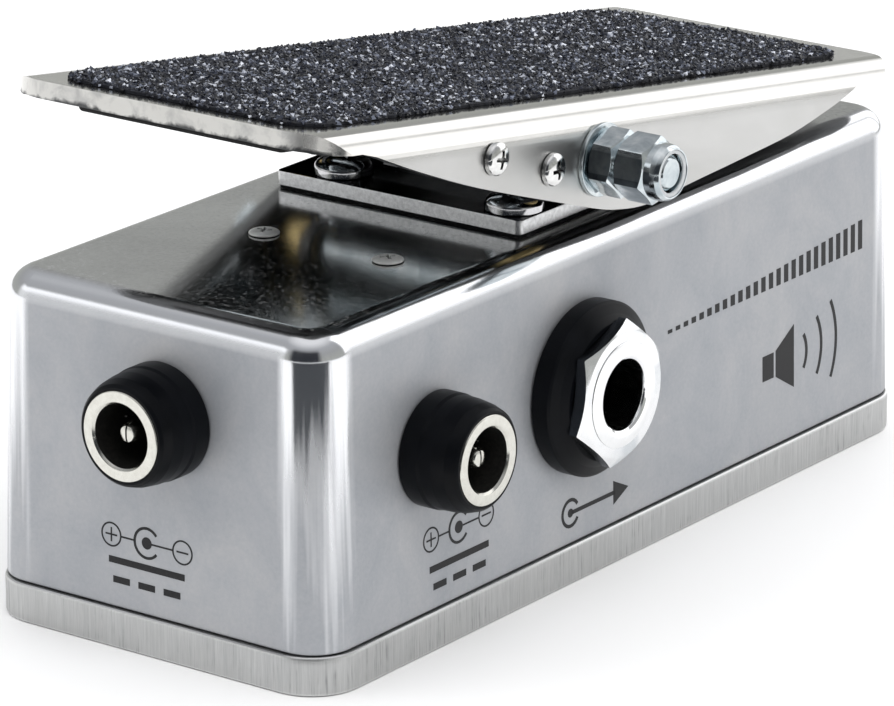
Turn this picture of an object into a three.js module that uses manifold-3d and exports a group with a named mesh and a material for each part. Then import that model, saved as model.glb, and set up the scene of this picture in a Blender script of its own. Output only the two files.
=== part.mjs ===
// Miniature rocker volume pedal: die-cast box, bent-steel treadle on a cross bolt,
// toothed sector driving a potentiometer, two audio sockets and two power sockets.
// Millimetres. X across the box, Y along it (toe end +Y, heel end -Y), Z up; left is -X.
// Origin: centre of the base plate's underside.
import * as THREE from 'three';
import { mergeVertices } from 'three/addons/utils/BufferGeometryUtils.js';
import Module from 'manifold-3d';

const wasm = await Module();
wasm.setup();

// ---------------------------------------------------------------- shared dimensions
const DEG = Math.PI / 180;
const GAP = 0.02;                     // hairline between pieces that touch

const PLATE_L = 94;
const PLATE_W = 38.7;
const PLATE_T = 3.65;
const PLATE_LIP = 0.41;               // how far the plate stands out past the box
const PLATE_SCREWS = [-41.6, 41.6].flatMap((y) => [[-14, y], [14, y]]);
const PLATE_HOLE_R = 1.65;

const BOX_L = PLATE_L - 2 * PLATE_LIP;
const BOX_W = PLATE_W - 2 * PLATE_LIP;
const BOX_BOTTOM = PLATE_T + 0.08;
const BOX_TOP = 32.5;
const BOX_DRAFT = 0.58;               // inward lean of each wall over the box's height
const ROOF_Z = BOX_TOP - 2.3;         // underside of the lid

const CENTRE_X = -1;                  // centre line of the treadle unit
const AXLE_Y = 6.4;
const AXLE_Z = 39.6;
const TILT = 8.17;                    // toe-up rest angle, degrees

// Treadle frame: Y and Z measured from the axle line, before the tilt
const TREADLE_W = 37.2;
const TREADLE_T = 1.6;
const TREADLE_TOP = 5.12;
const TREADLE_UNDER = TREADLE_TOP - TREADLE_T;
const TREADLE_LEFT = CENTRE_X - TREADLE_W / 2;
const TREADLE_RIGHT = CENTRE_X + TREADLE_W / 2;

const SECTOR_X = -10.55;              // mid-thickness of the toothed sector
const SECTOR_T = 1.5;
const SECTOR_RIVETS = [8.6, 16.4].map((y) => [SECTOR_X + 3.6, y]);  // [x, y], treadle frame

// Screws through the lid, [x, y]
const HINGE_SCREWS = [
  [-11.8, 8.6], [7.6, 8.6], [CENTRE_X - 4.6, -11.4], [CENTRE_X + 9.9, -11.4],
];
const BOARD_SCREWS = [[4.9, 23.9], [-9.05, 23.9]];
const POT_SCREWS = [[3, -23.5], [3, -37]];

const AUDIO_Z = 18.4;
const OUTPUT_Y = 7.6;
const INPUT_Y = -12;
const POWER_TOE = { x: -1.5, z: 22.4 };
const POWER_SIDE = { y: 30.2, z: 18.8 };

// Spans of cutting tools along their axis
const ACROSS = [-30, 30];
const LID_SPAN = [28, 40];
const SHEET_SPAN = [0, 5];            // sheets under the treadle's top, treadle frame

// ---------------------------------------------------------------- materials
const metal = (look) => new THREE.MeshStandardMaterial({ ...look, metalness: 1 });
const nonMetal = (look) => new THREE.MeshStandardMaterial({ ...look, metalness: 0 });
const materials = {
  castAluminium: metal({ color: 0xa9adb3, roughness: 0.42 }),
  cutAluminium: metal({ color: 0xb9bbbe, roughness: 0.5 }),
  polishedSteel: metal({ color: 0xd2d2cc, roughness: 0.18 }),
  zincSteel: metal({ color: 0xb9c4c8, roughness: 0.28 }),
  chrome: metal({ color: 0xe8eaec, roughness: 0.08 }),
  nickelRing: metal({ color: 0xe2ddcb, roughness: 0.3 }),
  brass: metal({ color: 0xb59a55, roughness: 0.35 }),
  blackPlastic: nonMetal({ color: 0x15171a, roughness: 0.35 }),
  blackRubber: nonMetal({ color: 0x0c0c0c, roughness: 0.8 }),
  gritPad: nonMetal({ color: 0x1d1f26, roughness: 0.95 }),
  acetal: nonMetal({ color: 0xe6e3da, roughness: 0.45 }),
  boardGreen: nonMetal({ color: 0x1f5a38, roughness: 0.5 }),
  phenolic: nonMetal({ color: 0x5a3a22, roughness: 0.6 }),
};

// ---------------------------------------------------------------- solid helpers
const toSolid = (geometry) => {
  const bare = geometry.clone();
  bare.deleteAttribute('normal');
  bare.deleteAttribute('uv');
  const merged = mergeVertices(bare, 1e-5);
  return new wasm.Manifold(new wasm.Mesh({
    numProp: 3,
    vertProperties: new Float32Array(merged.attributes.position.array),
    triVerts: new Uint32Array(merged.index.array),
  }));
};

const toGeometry = (solid) => {
  const mesh = solid.getMesh();
  const geometry = new THREE.BufferGeometry();
  const positions = new Float32Array(mesh.vertProperties);
  geometry.setAttribute('position', new THREE.BufferAttribute(positions, 3));
  geometry.setIndex(new THREE.BufferAttribute(new Uint32Array(mesh.triVerts), 1));
  geometry.computeVertexNormals();
  return geometry;
};

// Box between two values on each axis, given in either order
const box = (x0, x1, y0, y1, z0, z1) => toSolid(
  new THREE.BoxGeometry(Math.abs(x1 - x0), Math.abs(y1 - y0), Math.abs(z1 - z0))
    .translate((x0 + x1) / 2, (y0 + y1) / 2, (z0 + z1) / 2));

// Cylinder along an axis; `place` is its centre on the other two axes, in x, y, z order
const rod = (axis, radius, [from, to], place = [0, 0], segments = 14) => {
  const geometry = new THREE.CylinderGeometry(radius, radius, Math.abs(to - from), segments);
  const [first, second] = place;
  const middle = (from + to) / 2;
  if (axis === 'x') geometry.rotateZ(-Math.PI / 2).translate(middle, first, second);
  if (axis === 'y') geometry.translate(first, middle, second);
  if (axis === 'z') geometry.rotateX(Math.PI / 2).translate(first, second, middle);
  return toSolid(geometry);
};

const drill = (solid, axis, radius, span, places, segments = 12) => places.reduce(
  (rest, place) => rest.subtract(rod(axis, radius, span, place, segments)), solid);

// Profile of [radius, height] points turned about +Z; one that starts off the axis is closed
const turned = (profile, segments) => {
  const points = profile.map(([radius, height]) => new THREE.Vector2(radius, height));
  if (profile[0][0] > 0) points.push(points[0].clone());
  return new THREE.LatheGeometry(points, segments).rotateX(Math.PI / 2);
};

// Lays a piece built along +Z in another direction, then moves it
const along = (geometry, direction, x, y, z) => {
  const laid = geometry.clone();
  if (direction === '-x') laid.rotateY(-Math.PI / 2);
  if (direction === '+x') laid.rotateY(Math.PI / 2);
  if (direction === '+y') laid.rotateX(-Math.PI / 2);
  return laid.translate(x, y, z);
};
const solidAlong = (solid, ...where) => toSolid(along(toGeometry(solid), ...where));

const extrude = (shape, depth, curveSegments = 8) =>
  new THREE.ExtrudeGeometry(shape, { depth, bevelEnabled: false, curveSegments });

const polygon = (points) => {
  const shape = new THREE.Shape();
  points.forEach(([x, y], i) => (i ? shape.lineTo(x, y) : shape.moveTo(x, y)));
  shape.closePath();
  return shape;
};

const roundRect = (width, length, radius) => {
  const shape = new THREE.Shape();
  const x = width / 2;
  const y = length / 2;
  shape.moveTo(-x + radius, -y);
  shape.lineTo(x - radius, -y);
  shape.absarc(x - radius, -y + radius, radius, -Math.PI / 2, 0);
  shape.lineTo(x, y - radius);
  shape.absarc(x - radius, y - radius, radius, 0, Math.PI / 2);
  shape.lineTo(-x + radius, y);
  shape.absarc(-x + radius, y - radius, radius, Math.PI / 2, Math.PI);
  shape.lineTo(-x, -y + radius);
  shape.absarc(-x + radius, -y + radius, radius, Math.PI, 1.5 * Math.PI);
  return shape;
};

// Block with rounded upright corners, its underside centred on x, y, z
const roundedBlock = ({ width, length, radius, height, segments }, x, y, z) =>
  extrude(roundRect(width, length, radius), height, segments).translate(x, y, z);

// A [y, z] outline given thickness along X between x0 and x1
const slab = (outline, x0, x1) => {
  const toSide = new THREE.Matrix4().set(0, 0, 1, x0, 1, 0, 0, 0, 0, 1, 0, 0, 0, 0, 0, 1);
  return toSolid(extrude(polygon(outline), x1 - x0, 1).applyMatrix4(toSide));
};

// Hexagon standing on z = 0, top corners chamfered by a turned envelope.
// turn: degrees about its own axis; at 0, two corners face up and down once laid along X
const hexNut = ({ flats, height, bore = 0, chamfer = 0.35, turn = 0 }) => {
  const cornerR = flats / Math.sqrt(3);
  const corners = [0, 1, 2, 3, 4, 5].map((i) => {
    const angle = (60 * i + turn) * DEG;
    return [cornerR * Math.cos(angle), cornerR * Math.sin(angle)];
  });
  const envelopeR = cornerR + 0.02;
  const envelope = turned([
    [0, 0], [envelopeR, 0], [envelopeR, height - chamfer],
    [flats / 2 * 0.97, height], [0, height],
  ], 22);
  const nut = toSolid(extrude(polygon(corners), height)).intersect(toSolid(envelope));
  return bore ? nut.subtract(rod('z', bore, [-1, height + 1])) : nut;
};

// Turned screw with a cross recess between two heights
const crossScrew = ({ profile, segments, recess }, ...where) => {
  const { long, narrow, bottom, top } = recess;     // long and narrow are half-sizes
  let screw = toSolid(along(turned(profile, segments), ...where));
  for (const [x, y] of [[long, narrow], [narrow, long]]) {
    screw = screw.subtract(solidAlong(box(-x, x, -y, y, bottom, top), ...where));
  }
  return screw;
};

// ---------------------------------------------------------------- groups
const root = new THREE.Group();
const addGroup = (y, z) => {
  const group = new THREE.Group();
  group.position.set(0, y, z);
  root.add(group);
  return group;
};
const treadle = addGroup(AXLE_Y, AXLE_Z);
treadle.rotation.x = TILT * DEG;

const add = (parent, name, shape, material) => {
  const mesh = new THREE.Mesh(shape.isBufferGeometry ? shape : toGeometry(shape), material);
  mesh.name = name;
  parent.add(mesh);
};

// ---------------------------------------------------------------- base plate
const addBasePlate = () => {
  const bevel = 0.35;
  const countersink = [[0, -0.5], [3.4, -0.5], [3.15, 0.05], [1.4, 1.95], [0, 1.95]];
  const blank = new THREE.ExtrudeGeometry(roundRect(PLATE_W, PLATE_L, 4.85), {
    depth: PLATE_T - 2 * bevel,
    bevelEnabled: true,
    bevelThickness: bevel,
    bevelSize: bevel,
    bevelOffset: -bevel,
    bevelSegments: 1,
    curveSegments: 5,
  }).translate(0, 0, bevel);
  let plate = drill(toSolid(blank), 'z', PLATE_HOLE_R, [-1, 5], PLATE_SCREWS, 14);
  for (const [x, y] of PLATE_SCREWS) {
    plate = plate.subtract(toSolid(turned(countersink, 17).translate(x, y, 0)));
  }
  add(root, 'base_plate', plate, materials.cutAluminium);
};

const addBaseScrews = () => {
  const profile = [
    [0, 0.15], [2.75, 0.15], [2.75, 0.35], [1.45, 1.75], [1.45, 11.2], [1.1, 11.8], [0, 11.8],
  ];
  PLATE_SCREWS.forEach(([x, y], i) => {
    const screw = toSolid(turned(profile, 14).translate(x, y, 0));
    add(root, `base_screw_${i + 1}`, screw, materials.zincSteel);
  });
};

// ---------------------------------------------------------------- enclosure
// Inward lean of the walls at a height, and the outer half-width and half-length there
const leanAt = (z) => BOX_DRAFT * (z - BOX_BOTTOM) / (BOX_TOP - BOX_BOTTOM);
const boxSide = (z) => BOX_W / 2 - leanAt(z);
const boxEnd = (z) => BOX_L / 2 - leanAt(z);

const taper = (geometry) => {
  const position = geometry.attributes.position;
  for (let i = 0; i < position.count; i++) {
    const lean = leanAt(Math.max(position.getZ(i), BOX_BOTTOM));
    position.setX(i, position.getX(i) * (1 - lean / (BOX_W / 2)));
    position.setY(i, position.getY(i) * (1 - lean / (BOX_L / 2)));
  }
  return geometry;
};

const boxOuter = () => {
  const edgeRound = 2.6;
  const start = -4;                   // begun below the box, then trimmed to its open bottom
  const block = new THREE.ExtrudeGeometry(roundRect(BOX_W, BOX_L, 4), {
    depth: BOX_TOP - edgeRound - start,
    bevelEnabled: true,
    bevelThickness: edgeRound,
    bevelSize: edgeRound,
    bevelOffset: -edgeRound,
    bevelSegments: 4,
    curveSegments: 4,
  }).translate(0, 0, start);
  return toSolid(taper(block)).intersect(box(-30, 30, -60, 60, BOX_BOTTOM, 60));
};

const boxCavity = () => {
  const wall = 2;
  const below = 2;                    // how far the cavity starts below z = 0
  return toSolid(taper(roundedBlock({
    width: BOX_W - 2 * wall,
    length: BOX_L - 2 * wall,
    radius: 2.2,
    height: ROOF_Z + below,
    segments: 3,
  }, 0, 0, -below)));
};

const addEnclosure = () => {
  const postTop = 31;
  const leftWall = [-25, -10];
  const rightWall = [10, 25];
  const toeWall = [38, 50];
  const audioHoleR = 4.9;
  const powerHoleR = 4.2;
  const slotHalf = 1.75;
  const outer = boxOuter();
  let shell = outer.subtract(boxCavity());
  // corner screw posts, each webbed into its corner
  for (const [x, y] of PLATE_SCREWS) {
    const post = rod('z', 3.2, [BOX_BOTTOM, postTop], [x, y], 12);
    const web = box(x, Math.sign(x) * 18, y, Math.sign(y) * 45.5, BOX_BOTTOM, postTop);
    shell = shell.add(post.add(web).intersect(outer));
  }
  shell = drill(shell, 'z', PLATE_HOLE_R, [0, 13], PLATE_SCREWS);
  // slot in the lid for the sector
  shell = shell.subtract(box(SECTOR_X - slotHalf, SECTOR_X + slotHalf, -36.9, -27, 20, 40));
  shell = drill(shell, 'x', audioHoleR, leftWall, [[OUTPUT_Y, AUDIO_Z]], 17);
  shell = drill(shell, 'x', audioHoleR, rightWall, [[INPUT_Y, AUDIO_Z]], 17);
  shell = drill(shell, 'x', powerHoleR, leftWall, [[POWER_SIDE.y, POWER_SIDE.z]], 14);
  shell = drill(shell, 'y', powerHoleR, toeWall, [[POWER_TOE.x, POWER_TOE.z]], 14);
  shell = drill(shell, 'z', 1.55, LID_SPAN, HINGE_SCREWS);
  shell = drill(shell, 'z', 1, LID_SPAN, [...BOARD_SCREWS, ...POT_SCREWS]);
  add(root, 'enclosure', shell, materials.castAluminium);
};

// ---------------------------------------------------------------- hinge support on the lid
const HINGE_BASE_Z = BOX_TOP + 0.25;  // on top of the gasket
const HINGE_BASE_T = 1.4;
const HINGE_BASE_HALF = 13.65;
const HINGE_BASE_X = [CENTRE_X - HINGE_BASE_HALF, CENTRE_X + HINGE_BASE_HALF + 0.5];
const HINGE_BASE_Y = [-14.4, 11.7];
const HINGE_HOLE_R = 1.6;
const BRACKET_Z = HINGE_BASE_Z + HINGE_BASE_T;
const BRACKET_T = 1.2;
const BRACKET_HALF = HINGE_BASE_HALF - 0.05;
const BRACKET_RIVETS = [[CENTRE_X - 4, -2.2], [CENTRE_X + 6, -2.2]];
const RIVET_HOLE_R = 1.25;

const addHingeGasket = () => {
  const inset = 0.3;
  const [x0, x1] = HINGE_BASE_X;
  const [y0, y1] = HINGE_BASE_Y;
  const sheet = box(x0 + inset, x1 - inset, y0 + inset, y1 - inset, BOX_TOP, HINGE_BASE_Z);
  const gasket = drill(sheet, 'z', HINGE_HOLE_R, LID_SPAN, HINGE_SCREWS);
  add(root, 'hinge_gasket', gasket, materials.blackRubber);
};

const addHingeBase = () => {
  const [x0, x1] = HINGE_BASE_X;
  const [y0, y1] = HINGE_BASE_Y;
  let base = toSolid(roundedBlock({
    width: x1 - x0, length: y1 - y0, radius: 0.6, height: HINGE_BASE_T, segments: 2,
  }, (x0 + x1) / 2, (y0 + y1) / 2, HINGE_BASE_Z));
  base = drill(base, 'z', HINGE_HOLE_R, LID_SPAN, HINGE_SCREWS);
  base = drill(base, 'z', RIVET_HOLE_R, LID_SPAN, BRACKET_RIVETS);
  add(root, 'hinge_base', base, materials.cutAluminium);
};

// Folded channel: a floor and two ears with the axle bores
const addHingeBracket = () => {
  const heelY = -8.2;
  const toeY = 5.2;
  const earFoot = BRACKET_Z + 1.6;
  const earR = 3;
  const left = CENTRE_X - BRACKET_HALF;
  const right = CENTRE_X + BRACKET_HALF;
  const ear = [[heelY, BRACKET_Z], [toeY, BRACKET_Z], [toeY, earFoot]];
  for (let angle = -35; angle <= 200; angle += 23.5) {
    ear.push([AXLE_Y + earR * Math.cos(angle * DEG), AXLE_Z + earR * Math.sin(angle * DEG)]);
  }
  ear.push([heelY, earFoot]);
  let bracket = box(left, right, heelY, toeY, BRACKET_Z, BRACKET_Z + BRACKET_T)
    .add(slab(ear, left, left + BRACKET_T))
    .add(slab(ear, right - BRACKET_T, right));
  bracket = drill(bracket, 'x', 2.25, ACROSS, [[AXLE_Y, AXLE_Z]], 17);
  bracket = drill(bracket, 'z', RIVET_HOLE_R, LID_SPAN, BRACKET_RIVETS);
  add(root, 'hinge_bracket', bracket, materials.polishedSteel);
};

const addBracketRivets = () => {
  const foot = 0.05 - HINGE_BASE_T - BRACKET_T;
  const profile = [[0, foot], [1.2, foot], [1.2, GAP], [2.1, GAP], [1.7, 0.55], [0, 0.75]];
  BRACKET_RIVETS.forEach(([x, y], i) => {
    const rivet = turned(profile, 12).translate(x, y, BRACKET_Z + BRACKET_T);
    add(root, `bracket_rivet_${i + 1}`, rivet, materials.zincSteel);
  });
};

// Pan-head screws through the hinge base into the lid
const addHingeScrews = () => {
  const design = {
    profile: [
      [0, -6.4], [1.2, -6.4], [1.45, -6], [1.45, 0], [2.75, 0],
      [2.75, 0.7], [2.3, 1.3], [1.4, 1.65], [0, 1.7],
    ],
    segments: 16,
    recess: { long: 1.5, narrow: 0.3, bottom: 0.8, top: 3 },
  };
  HINGE_SCREWS.forEach(([x, y], i) => {
    const screw = crossScrew(design, '+z', x, y, BRACKET_Z + GAP);
    add(root, `hinge_screw_${i + 1}`, screw, materials.zincSteel);
  });
};

// Flanged bushes between each ear and the treadle's skirt
const addAxleBushes = () => {
  const length = TREADLE_W / 2 - TREADLE_T - 0.15 - BRACKET_HALF;
  const profile = [
    [1.86, -BRACKET_T], [2.2, -BRACKET_T], [2.2, GAP], [2.5, GAP],
    [2.5, length - 0.4], [2.3, length], [1.86, length],
  ];
  for (const [name, direction, side] of [['left', '-x', -1], ['right', '+x', 1]]) {
    const earX = CENTRE_X + side * BRACKET_HALF;
    const bush = along(turned(profile, 17), direction, earX, AXLE_Y, AXLE_Z);
    add(root, `axle_bush_${name}`, bush, materials.brass);
  }
};

// ---------------------------------------------------------------- treadle
const TREADLE_TOE = 40.05;
const TREADLE_HEEL = -51.55;
const YOKE_HEEL = 4.4;
const YOKE_TOE = 20.6;
const YOKE_SCREWS = [[16.4, 1.5], [7.55, -0.25]];   // [y, z]
const YOKE_HOLE_R = 1.05;

// Lower edge of the treadle's skirts, [y, z] from toe to heel
const SKIRT_EDGE = [
  [45, 3.4], [36.2, 3.45], [34.9, 4.3], [33.4, 3.1], [27.3, 1.3], [18.1, -1], [5.7, -3.45],
  [-0.75, -4.65], [-4, -4.98], [-7.2, -5.02], [-10.5, -4.6], [-15.2, -3.65], [-23.3, -2.15],
  [-31.7, -0.5], [-38.4, 1.5], [-43, 3.1], [-48, 4.6], [-50.5, 3.45], [-56, 3.4],
];
// Yoke cheek, [y, z]
const CHEEK = [
  [YOKE_TOE, 2.3], [YOKE_TOE, 1.4], [18.2, 0.2], [8.5, -2], [5.2, -2],
  [YOKE_HEEL, -1.2], [YOKE_HEEL, 2.3],
];

// Inverted channel of bent sheet run along Y; bend is the outer bend radius
const channel = ({ half, sheet, bend, top, depth, heel, toe, segments }) => {
  const low = top - depth;
  const bendX = half - bend;
  const bendZ = top - bend;
  const innerR = bend - sheet;
  const shape = new THREE.Shape();
  shape.moveTo(-half, low);
  shape.lineTo(-half, bendZ);
  shape.absarc(-bendX, bendZ, bend, Math.PI, Math.PI / 2, true);
  shape.lineTo(bendX, top);
  shape.absarc(bendX, bendZ, bend, Math.PI / 2, 0, true);
  shape.lineTo(half, low);
  shape.lineTo(half - sheet, low);
  shape.lineTo(half - sheet, bendZ);
  shape.absarc(bendX, bendZ, innerR, 0, Math.PI / 2, false);
  shape.lineTo(-bendX, top - sheet);
  shape.absarc(-bendX, bendZ, innerR, Math.PI / 2, Math.PI, false);
  shape.lineTo(-half + sheet, low);
  shape.closePath();
  // the extrusion runs from toe to heel, which keeps the faces outward
  const lengthwise = new THREE.Matrix4()
    .set(1, 0, 0, CENTRE_X, 0, 0, -1, toe, 0, 1, 0, 0, 0, 0, 0, 1);
  return toSolid(extrude(shape, toe - heel, segments).applyMatrix4(lengthwise));
};

const addTreadlePlate = () => {
  const bent = channel({
    half: TREADLE_W / 2,
    sheet: TREADLE_T,
    bend: 3.2,
    top: TREADLE_TOP,
    depth: 14,
    heel: TREADLE_HEEL,
    toe: TREADLE_TOE,
    segments: 6,
  });
  const plan = toSolid(roundedBlock({
    width: TREADLE_W, length: TREADLE_TOE - TREADLE_HEEL, radius: 5.5, height: 30, segments: 6,
  }, CENTRE_X, (TREADLE_HEEL + TREADLE_TOE) / 2, -15));
  const side = slab([[45, 12], ...SKIRT_EDGE, [-56, 12]], ...ACROSS);
  let plate = bent.intersect(plan).intersect(side);
  plate = drill(plate, 'x', 1.9, ACROSS, [[0, 0]], 14);
  plate = drill(plate, 'x', YOKE_HOLE_R, ACROSS, YOKE_SCREWS);
  add(treadle, 'treadle_plate', plate, materials.polishedSteel);
};

const addGripPad = () => {
  const toe = 37.9;
  const heel = -47.7;
  const pad = roundedBlock({
    width: 28.3, length: toe - heel, radius: 3.8, height: 0.45, segments: 4,
  }, CENTRE_X, (toe + heel) / 2, TREADLE_TOP + GAP);
  add(treadle, 'grip_pad', pad, materials.gritPad);
};

const addToeBumper = () => {
  const height = 0.92;
  const bumper = roundedBlock({ width: 22.8, length: 3.2, radius: 0.6, height, segments: 3 },
    CENTRE_X, 35.9, TREADLE_UNDER - GAP - height);
  add(treadle, 'toe_bumper', bumper, materials.blackRubber);
};

// Inner yoke: floor under the sheet, cheeks against the skirts
const addTreadleYoke = () => {
  const sheet = 1.15;
  const half = TREADLE_W / 2 - TREADLE_T - 0.05;
  const left = CENTRE_X - half;
  const right = CENTRE_X + half;
  let yoke = channel({
    half,
    sheet,
    bend: 1.9,
    top: TREADLE_UNDER - 0.06,
    depth: 2.4,
    heel: YOKE_HEEL,
    toe: YOKE_TOE,
    segments: 4,
  });
  yoke = yoke.add(slab(CHEEK, left, left + sheet)).add(slab(CHEEK, right - sheet, right));
  yoke = drill(yoke, 'x', YOKE_HOLE_R, ACROSS, YOKE_SCREWS);
  yoke = drill(yoke, 'z', 0.95, SHEET_SPAN, SECTOR_RIVETS);
  add(treadle, 'treadle_yoke', yoke, materials.zincSteel);
};

const addYokeScrews = () => {
  const design = {
    profile: [[0, -3.6], [0.9, -3.6], [0.9, 0], [1.5, 0], [1.5, 0.35], [1.15, 0.8], [0, 0.95]],
    segments: 13,
    recess: { long: 0.8, narrow: 0.16, bottom: 0.43, top: 1.33 },
  };
  const sides = [['-x', TREADLE_LEFT - GAP], ['+x', TREADLE_RIGHT + GAP]];
  let number = 1;
  for (const [direction, x] of sides) {
    for (const [y, z] of YOKE_SCREWS) {
      const screw = crossScrew(design, direction, x, y, z);
      add(treadle, `yoke_screw_${number++}`, screw, materials.chrome);
    }
  }
};

// ---------------------------------------------------------------- axle bolt, washers and nuts
const addAxle = () => {
  const flats = 5.5;
  const washerT = 0.5;                // washer and nut sizes include their gap
  const nutH = 2.75;
  const locknutH = 4.75;
  const nutBore = 1.8;
  const nutX = TREADLE_LEFT - washerT;
  const headX = TREADLE_RIGHT + washerT + GAP;

  const shank = rod('x', 1.75, [nutX - nutH - locknutH + 0.25, headX], [0, 0], 17);
  const head = solidAlong(hexNut({ flats, height: 2.5 }), '+x', headX, 0, 0);
  add(treadle, 'axle_bolt', shank.add(head), materials.zincSteel);

  const faceT = washerT - 0.04;
  const washer = turned([[1.82, 0], [3.4, 0], [3.4, faceT], [1.82, faceT]], 17);
  const leftWasher = along(washer, '-x', TREADLE_LEFT - GAP, 0, 0);
  const rightWasher = along(washer, '+x', TREADLE_RIGHT + GAP, 0, 0);
  add(treadle, 'axle_washer_left', leftWasher, materials.zincSteel);
  add(treadle, 'axle_washer_right', rightWasher, materials.zincSteel);

  const nut = hexNut({ flats, height: nutH - 0.04, bore: nutBore });
  add(treadle, 'axle_nut', solidAlong(nut, '-x', nutX - GAP, 0, 0), materials.zincSteel);

  // self-locking nut: hexagon with a turned collar
  const collar = turned([
    [nutBore, 3.2], [2.6, 3.2], [2.6, 3.9], [2.35, 4.5], [2.05, 4.7], [nutBore, 4.7],
  ], 17);
  const locknut = solidAlong(
    hexNut({ flats, height: 3.4, bore: nutBore }).add(toSolid(collar)),
    '-x', nutX - nutH - GAP, 0, 0);
  add(treadle, 'axle_locknut', locknut, materials.zincSteel);
};

// ---------------------------------------------------------------- toothed sector and pinion
const MODULE = 0.6;
const SECTOR_TEETH = 138;             // on a full circle
const PINION_TEETH = 12;
const PRESSURE_ANGLE = 20 * DEG;
const TOOTH_SHARE = 0.44;             // tooth thickness as a share of the circular pitch
const ADDENDUM = 0.8 * MODULE;
const DEDENDUM = 1.15 * MODULE;
const MESH_ANGLE = 27.5;              // pinion direction below the horizontal, to the heel
const CENTRE_DISTANCE = MODULE * (SECTOR_TEETH + PINION_TEETH) / 2;
const POT_Y = AXLE_Y - CENTRE_DISTANCE * Math.cos(MESH_ANGLE * DEG);
const POT_Z = AXLE_Z - CENTRE_DISTANCE * Math.sin(MESH_ANGLE * DEG);
const PINION_X = [SECTOR_X - 1.6, SECTOR_X + 1.6];

// Involute flank as [radius, half-angle of the tooth there], root to tip
const toothFlank = (teeth) => {
  const pitchR = MODULE * teeth / 2;
  const baseR = pitchR * Math.cos(PRESSURE_ANGLE);
  const rootR = pitchR - DEDENDUM;
  const tipR = pitchR + ADDENDUM;
  const involute = (angle) => Math.tan(angle) - angle;
  const halfAtBase = TOOTH_SHARE * Math.PI / teeth + involute(PRESSURE_ANGLE);
  const halfAt = (radius) => (radius <= baseR
    ? halfAtBase
    : halfAtBase - involute(Math.acos(baseR / radius)));
  const radii = [
    rootR,
    Math.max(rootR + 0.02, Math.min(baseR, pitchR - 0.3 * MODULE)),
    (pitchR + tipR) / 2 - 0.1 * MODULE,
    tipR,
  ];
  return radii.map((radius) => [radius, halfAt(radius)]);
};

// Both flanks of the tooth centred on an angle in degrees
const toothPoints = (flank, centre, toPoint) => [
  ...flank.map(([radius, half]) => toPoint(radius, centre - half / DEG)),
  ...[...flank].reverse().map(([radius, half]) => toPoint(radius, centre + half / DEG)),
];

const polar = (radius, degrees) =>
  [radius * Math.cos(degrees * DEG), radius * Math.sin(degrees * DEG)];

// Sector plate outline, [y, z] from the axle line
const sectorOutline = () => {
  // angles measured below the horizontal, towards the heel
  const heelward = (radius, degrees) => polar(-radius, degrees);
  // a point of the treadle frame, tilted
  const tilted = ([y, z]) => [
    y * Math.cos(TILT * DEG) - z * Math.sin(TILT * DEG),
    y * Math.sin(TILT * DEG) + z * Math.cos(TILT * DEG),
  ];
  const flank = toothFlank(SECTOR_TEETH);
  const rootR = flank[0][0];
  const rimInnerR = 37.2;
  const pitch = 360 / SECTOR_TEETH;
  const firstTooth = -3;              // counted from the mesh line
  const lastTooth = 10;
  const top = 8.1;
  const bottom = MESH_ANGLE + (lastTooth + 0.9) * pitch;

  const outline = [heelward(rootR, top)];
  // plain rim above the teeth
  for (let angle = top + 4; angle < MESH_ANGLE + (firstTooth - 0.7) * pitch; angle += 4) {
    outline.push(heelward(rootR, angle));
  }
  for (let k = firstTooth; k <= lastTooth; k++) {
    outline.push(...toothPoints(flank, MESH_ANGLE + k * pitch, heelward));
  }
  outline.push(heelward(rootR, bottom));
  // inner edge of the rim, back up to the arm
  for (let angle = bottom; angle > 14; angle -= 4.5) {
    outline.push(heelward(rimInnerR, angle));
  }
  // lower edge of the arm
  outline.push(
    [-36.4, -8.4], [-33.8, -5.75], [-21.6, -5.6], [-20.6, -4.3],
    [-15.4, -4.1], [-14.2, -3.2], [-5, -2.9],
  );
  // hub round the axle
  for (let angle = 235; angle <= 315; angle += 20) outline.push(polar(3, angle));
  // front leg to the yoke, then the arm's upper edge back to the heel
  outline.push(...[
    [5, -2], [19.2, -0.4], [19.2, 2.2], [5.2, 2.2], [3.2, 2.6],
    [0, 2.95], [-4, 2.9], [-30, 2.9], [-38.5, 2.6],
  ].map(tilted));
  return outline;
};

const addSectorGear = () => {
  const left = SECTOR_X - SECTOR_T / 2;
  const plate = slab(sectorOutline(), left, SECTOR_X + SECTOR_T / 2)
    .subtract(rod('x', 1.85, ACROSS));
  // flange folded from the front leg, lying under the yoke's floor
  const sheet = box(left, SECTOR_X + 6.4, 5.6, 19.2, 1, 2.2);
  const flange = drill(sheet, 'z', 0.95, SHEET_SPAN, SECTOR_RIVETS).rotate([TILT, 0, 0]);
  const sector = addGroup(AXLE_Y, AXLE_Z);
  add(sector, 'sector_gear', plate.add(flange), materials.polishedSteel);
};

const addSectorRivets = () => {
  const top = TREADLE_UNDER - 0.12;
  const profile = [
    [0, 0.25], [0.9, 0.35], [1.5, 0.75], [1.5, 0.97], [0.9, 0.97], [0.9, top], [0, top],
  ];
  SECTOR_RIVETS.forEach(([x, y], i) => {
    const rivet = turned(profile, 12).translate(x, y, 0);
    add(treadle, `sector_rivet_${i + 1}`, rivet, materials.zincSteel);
  });
};

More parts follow.
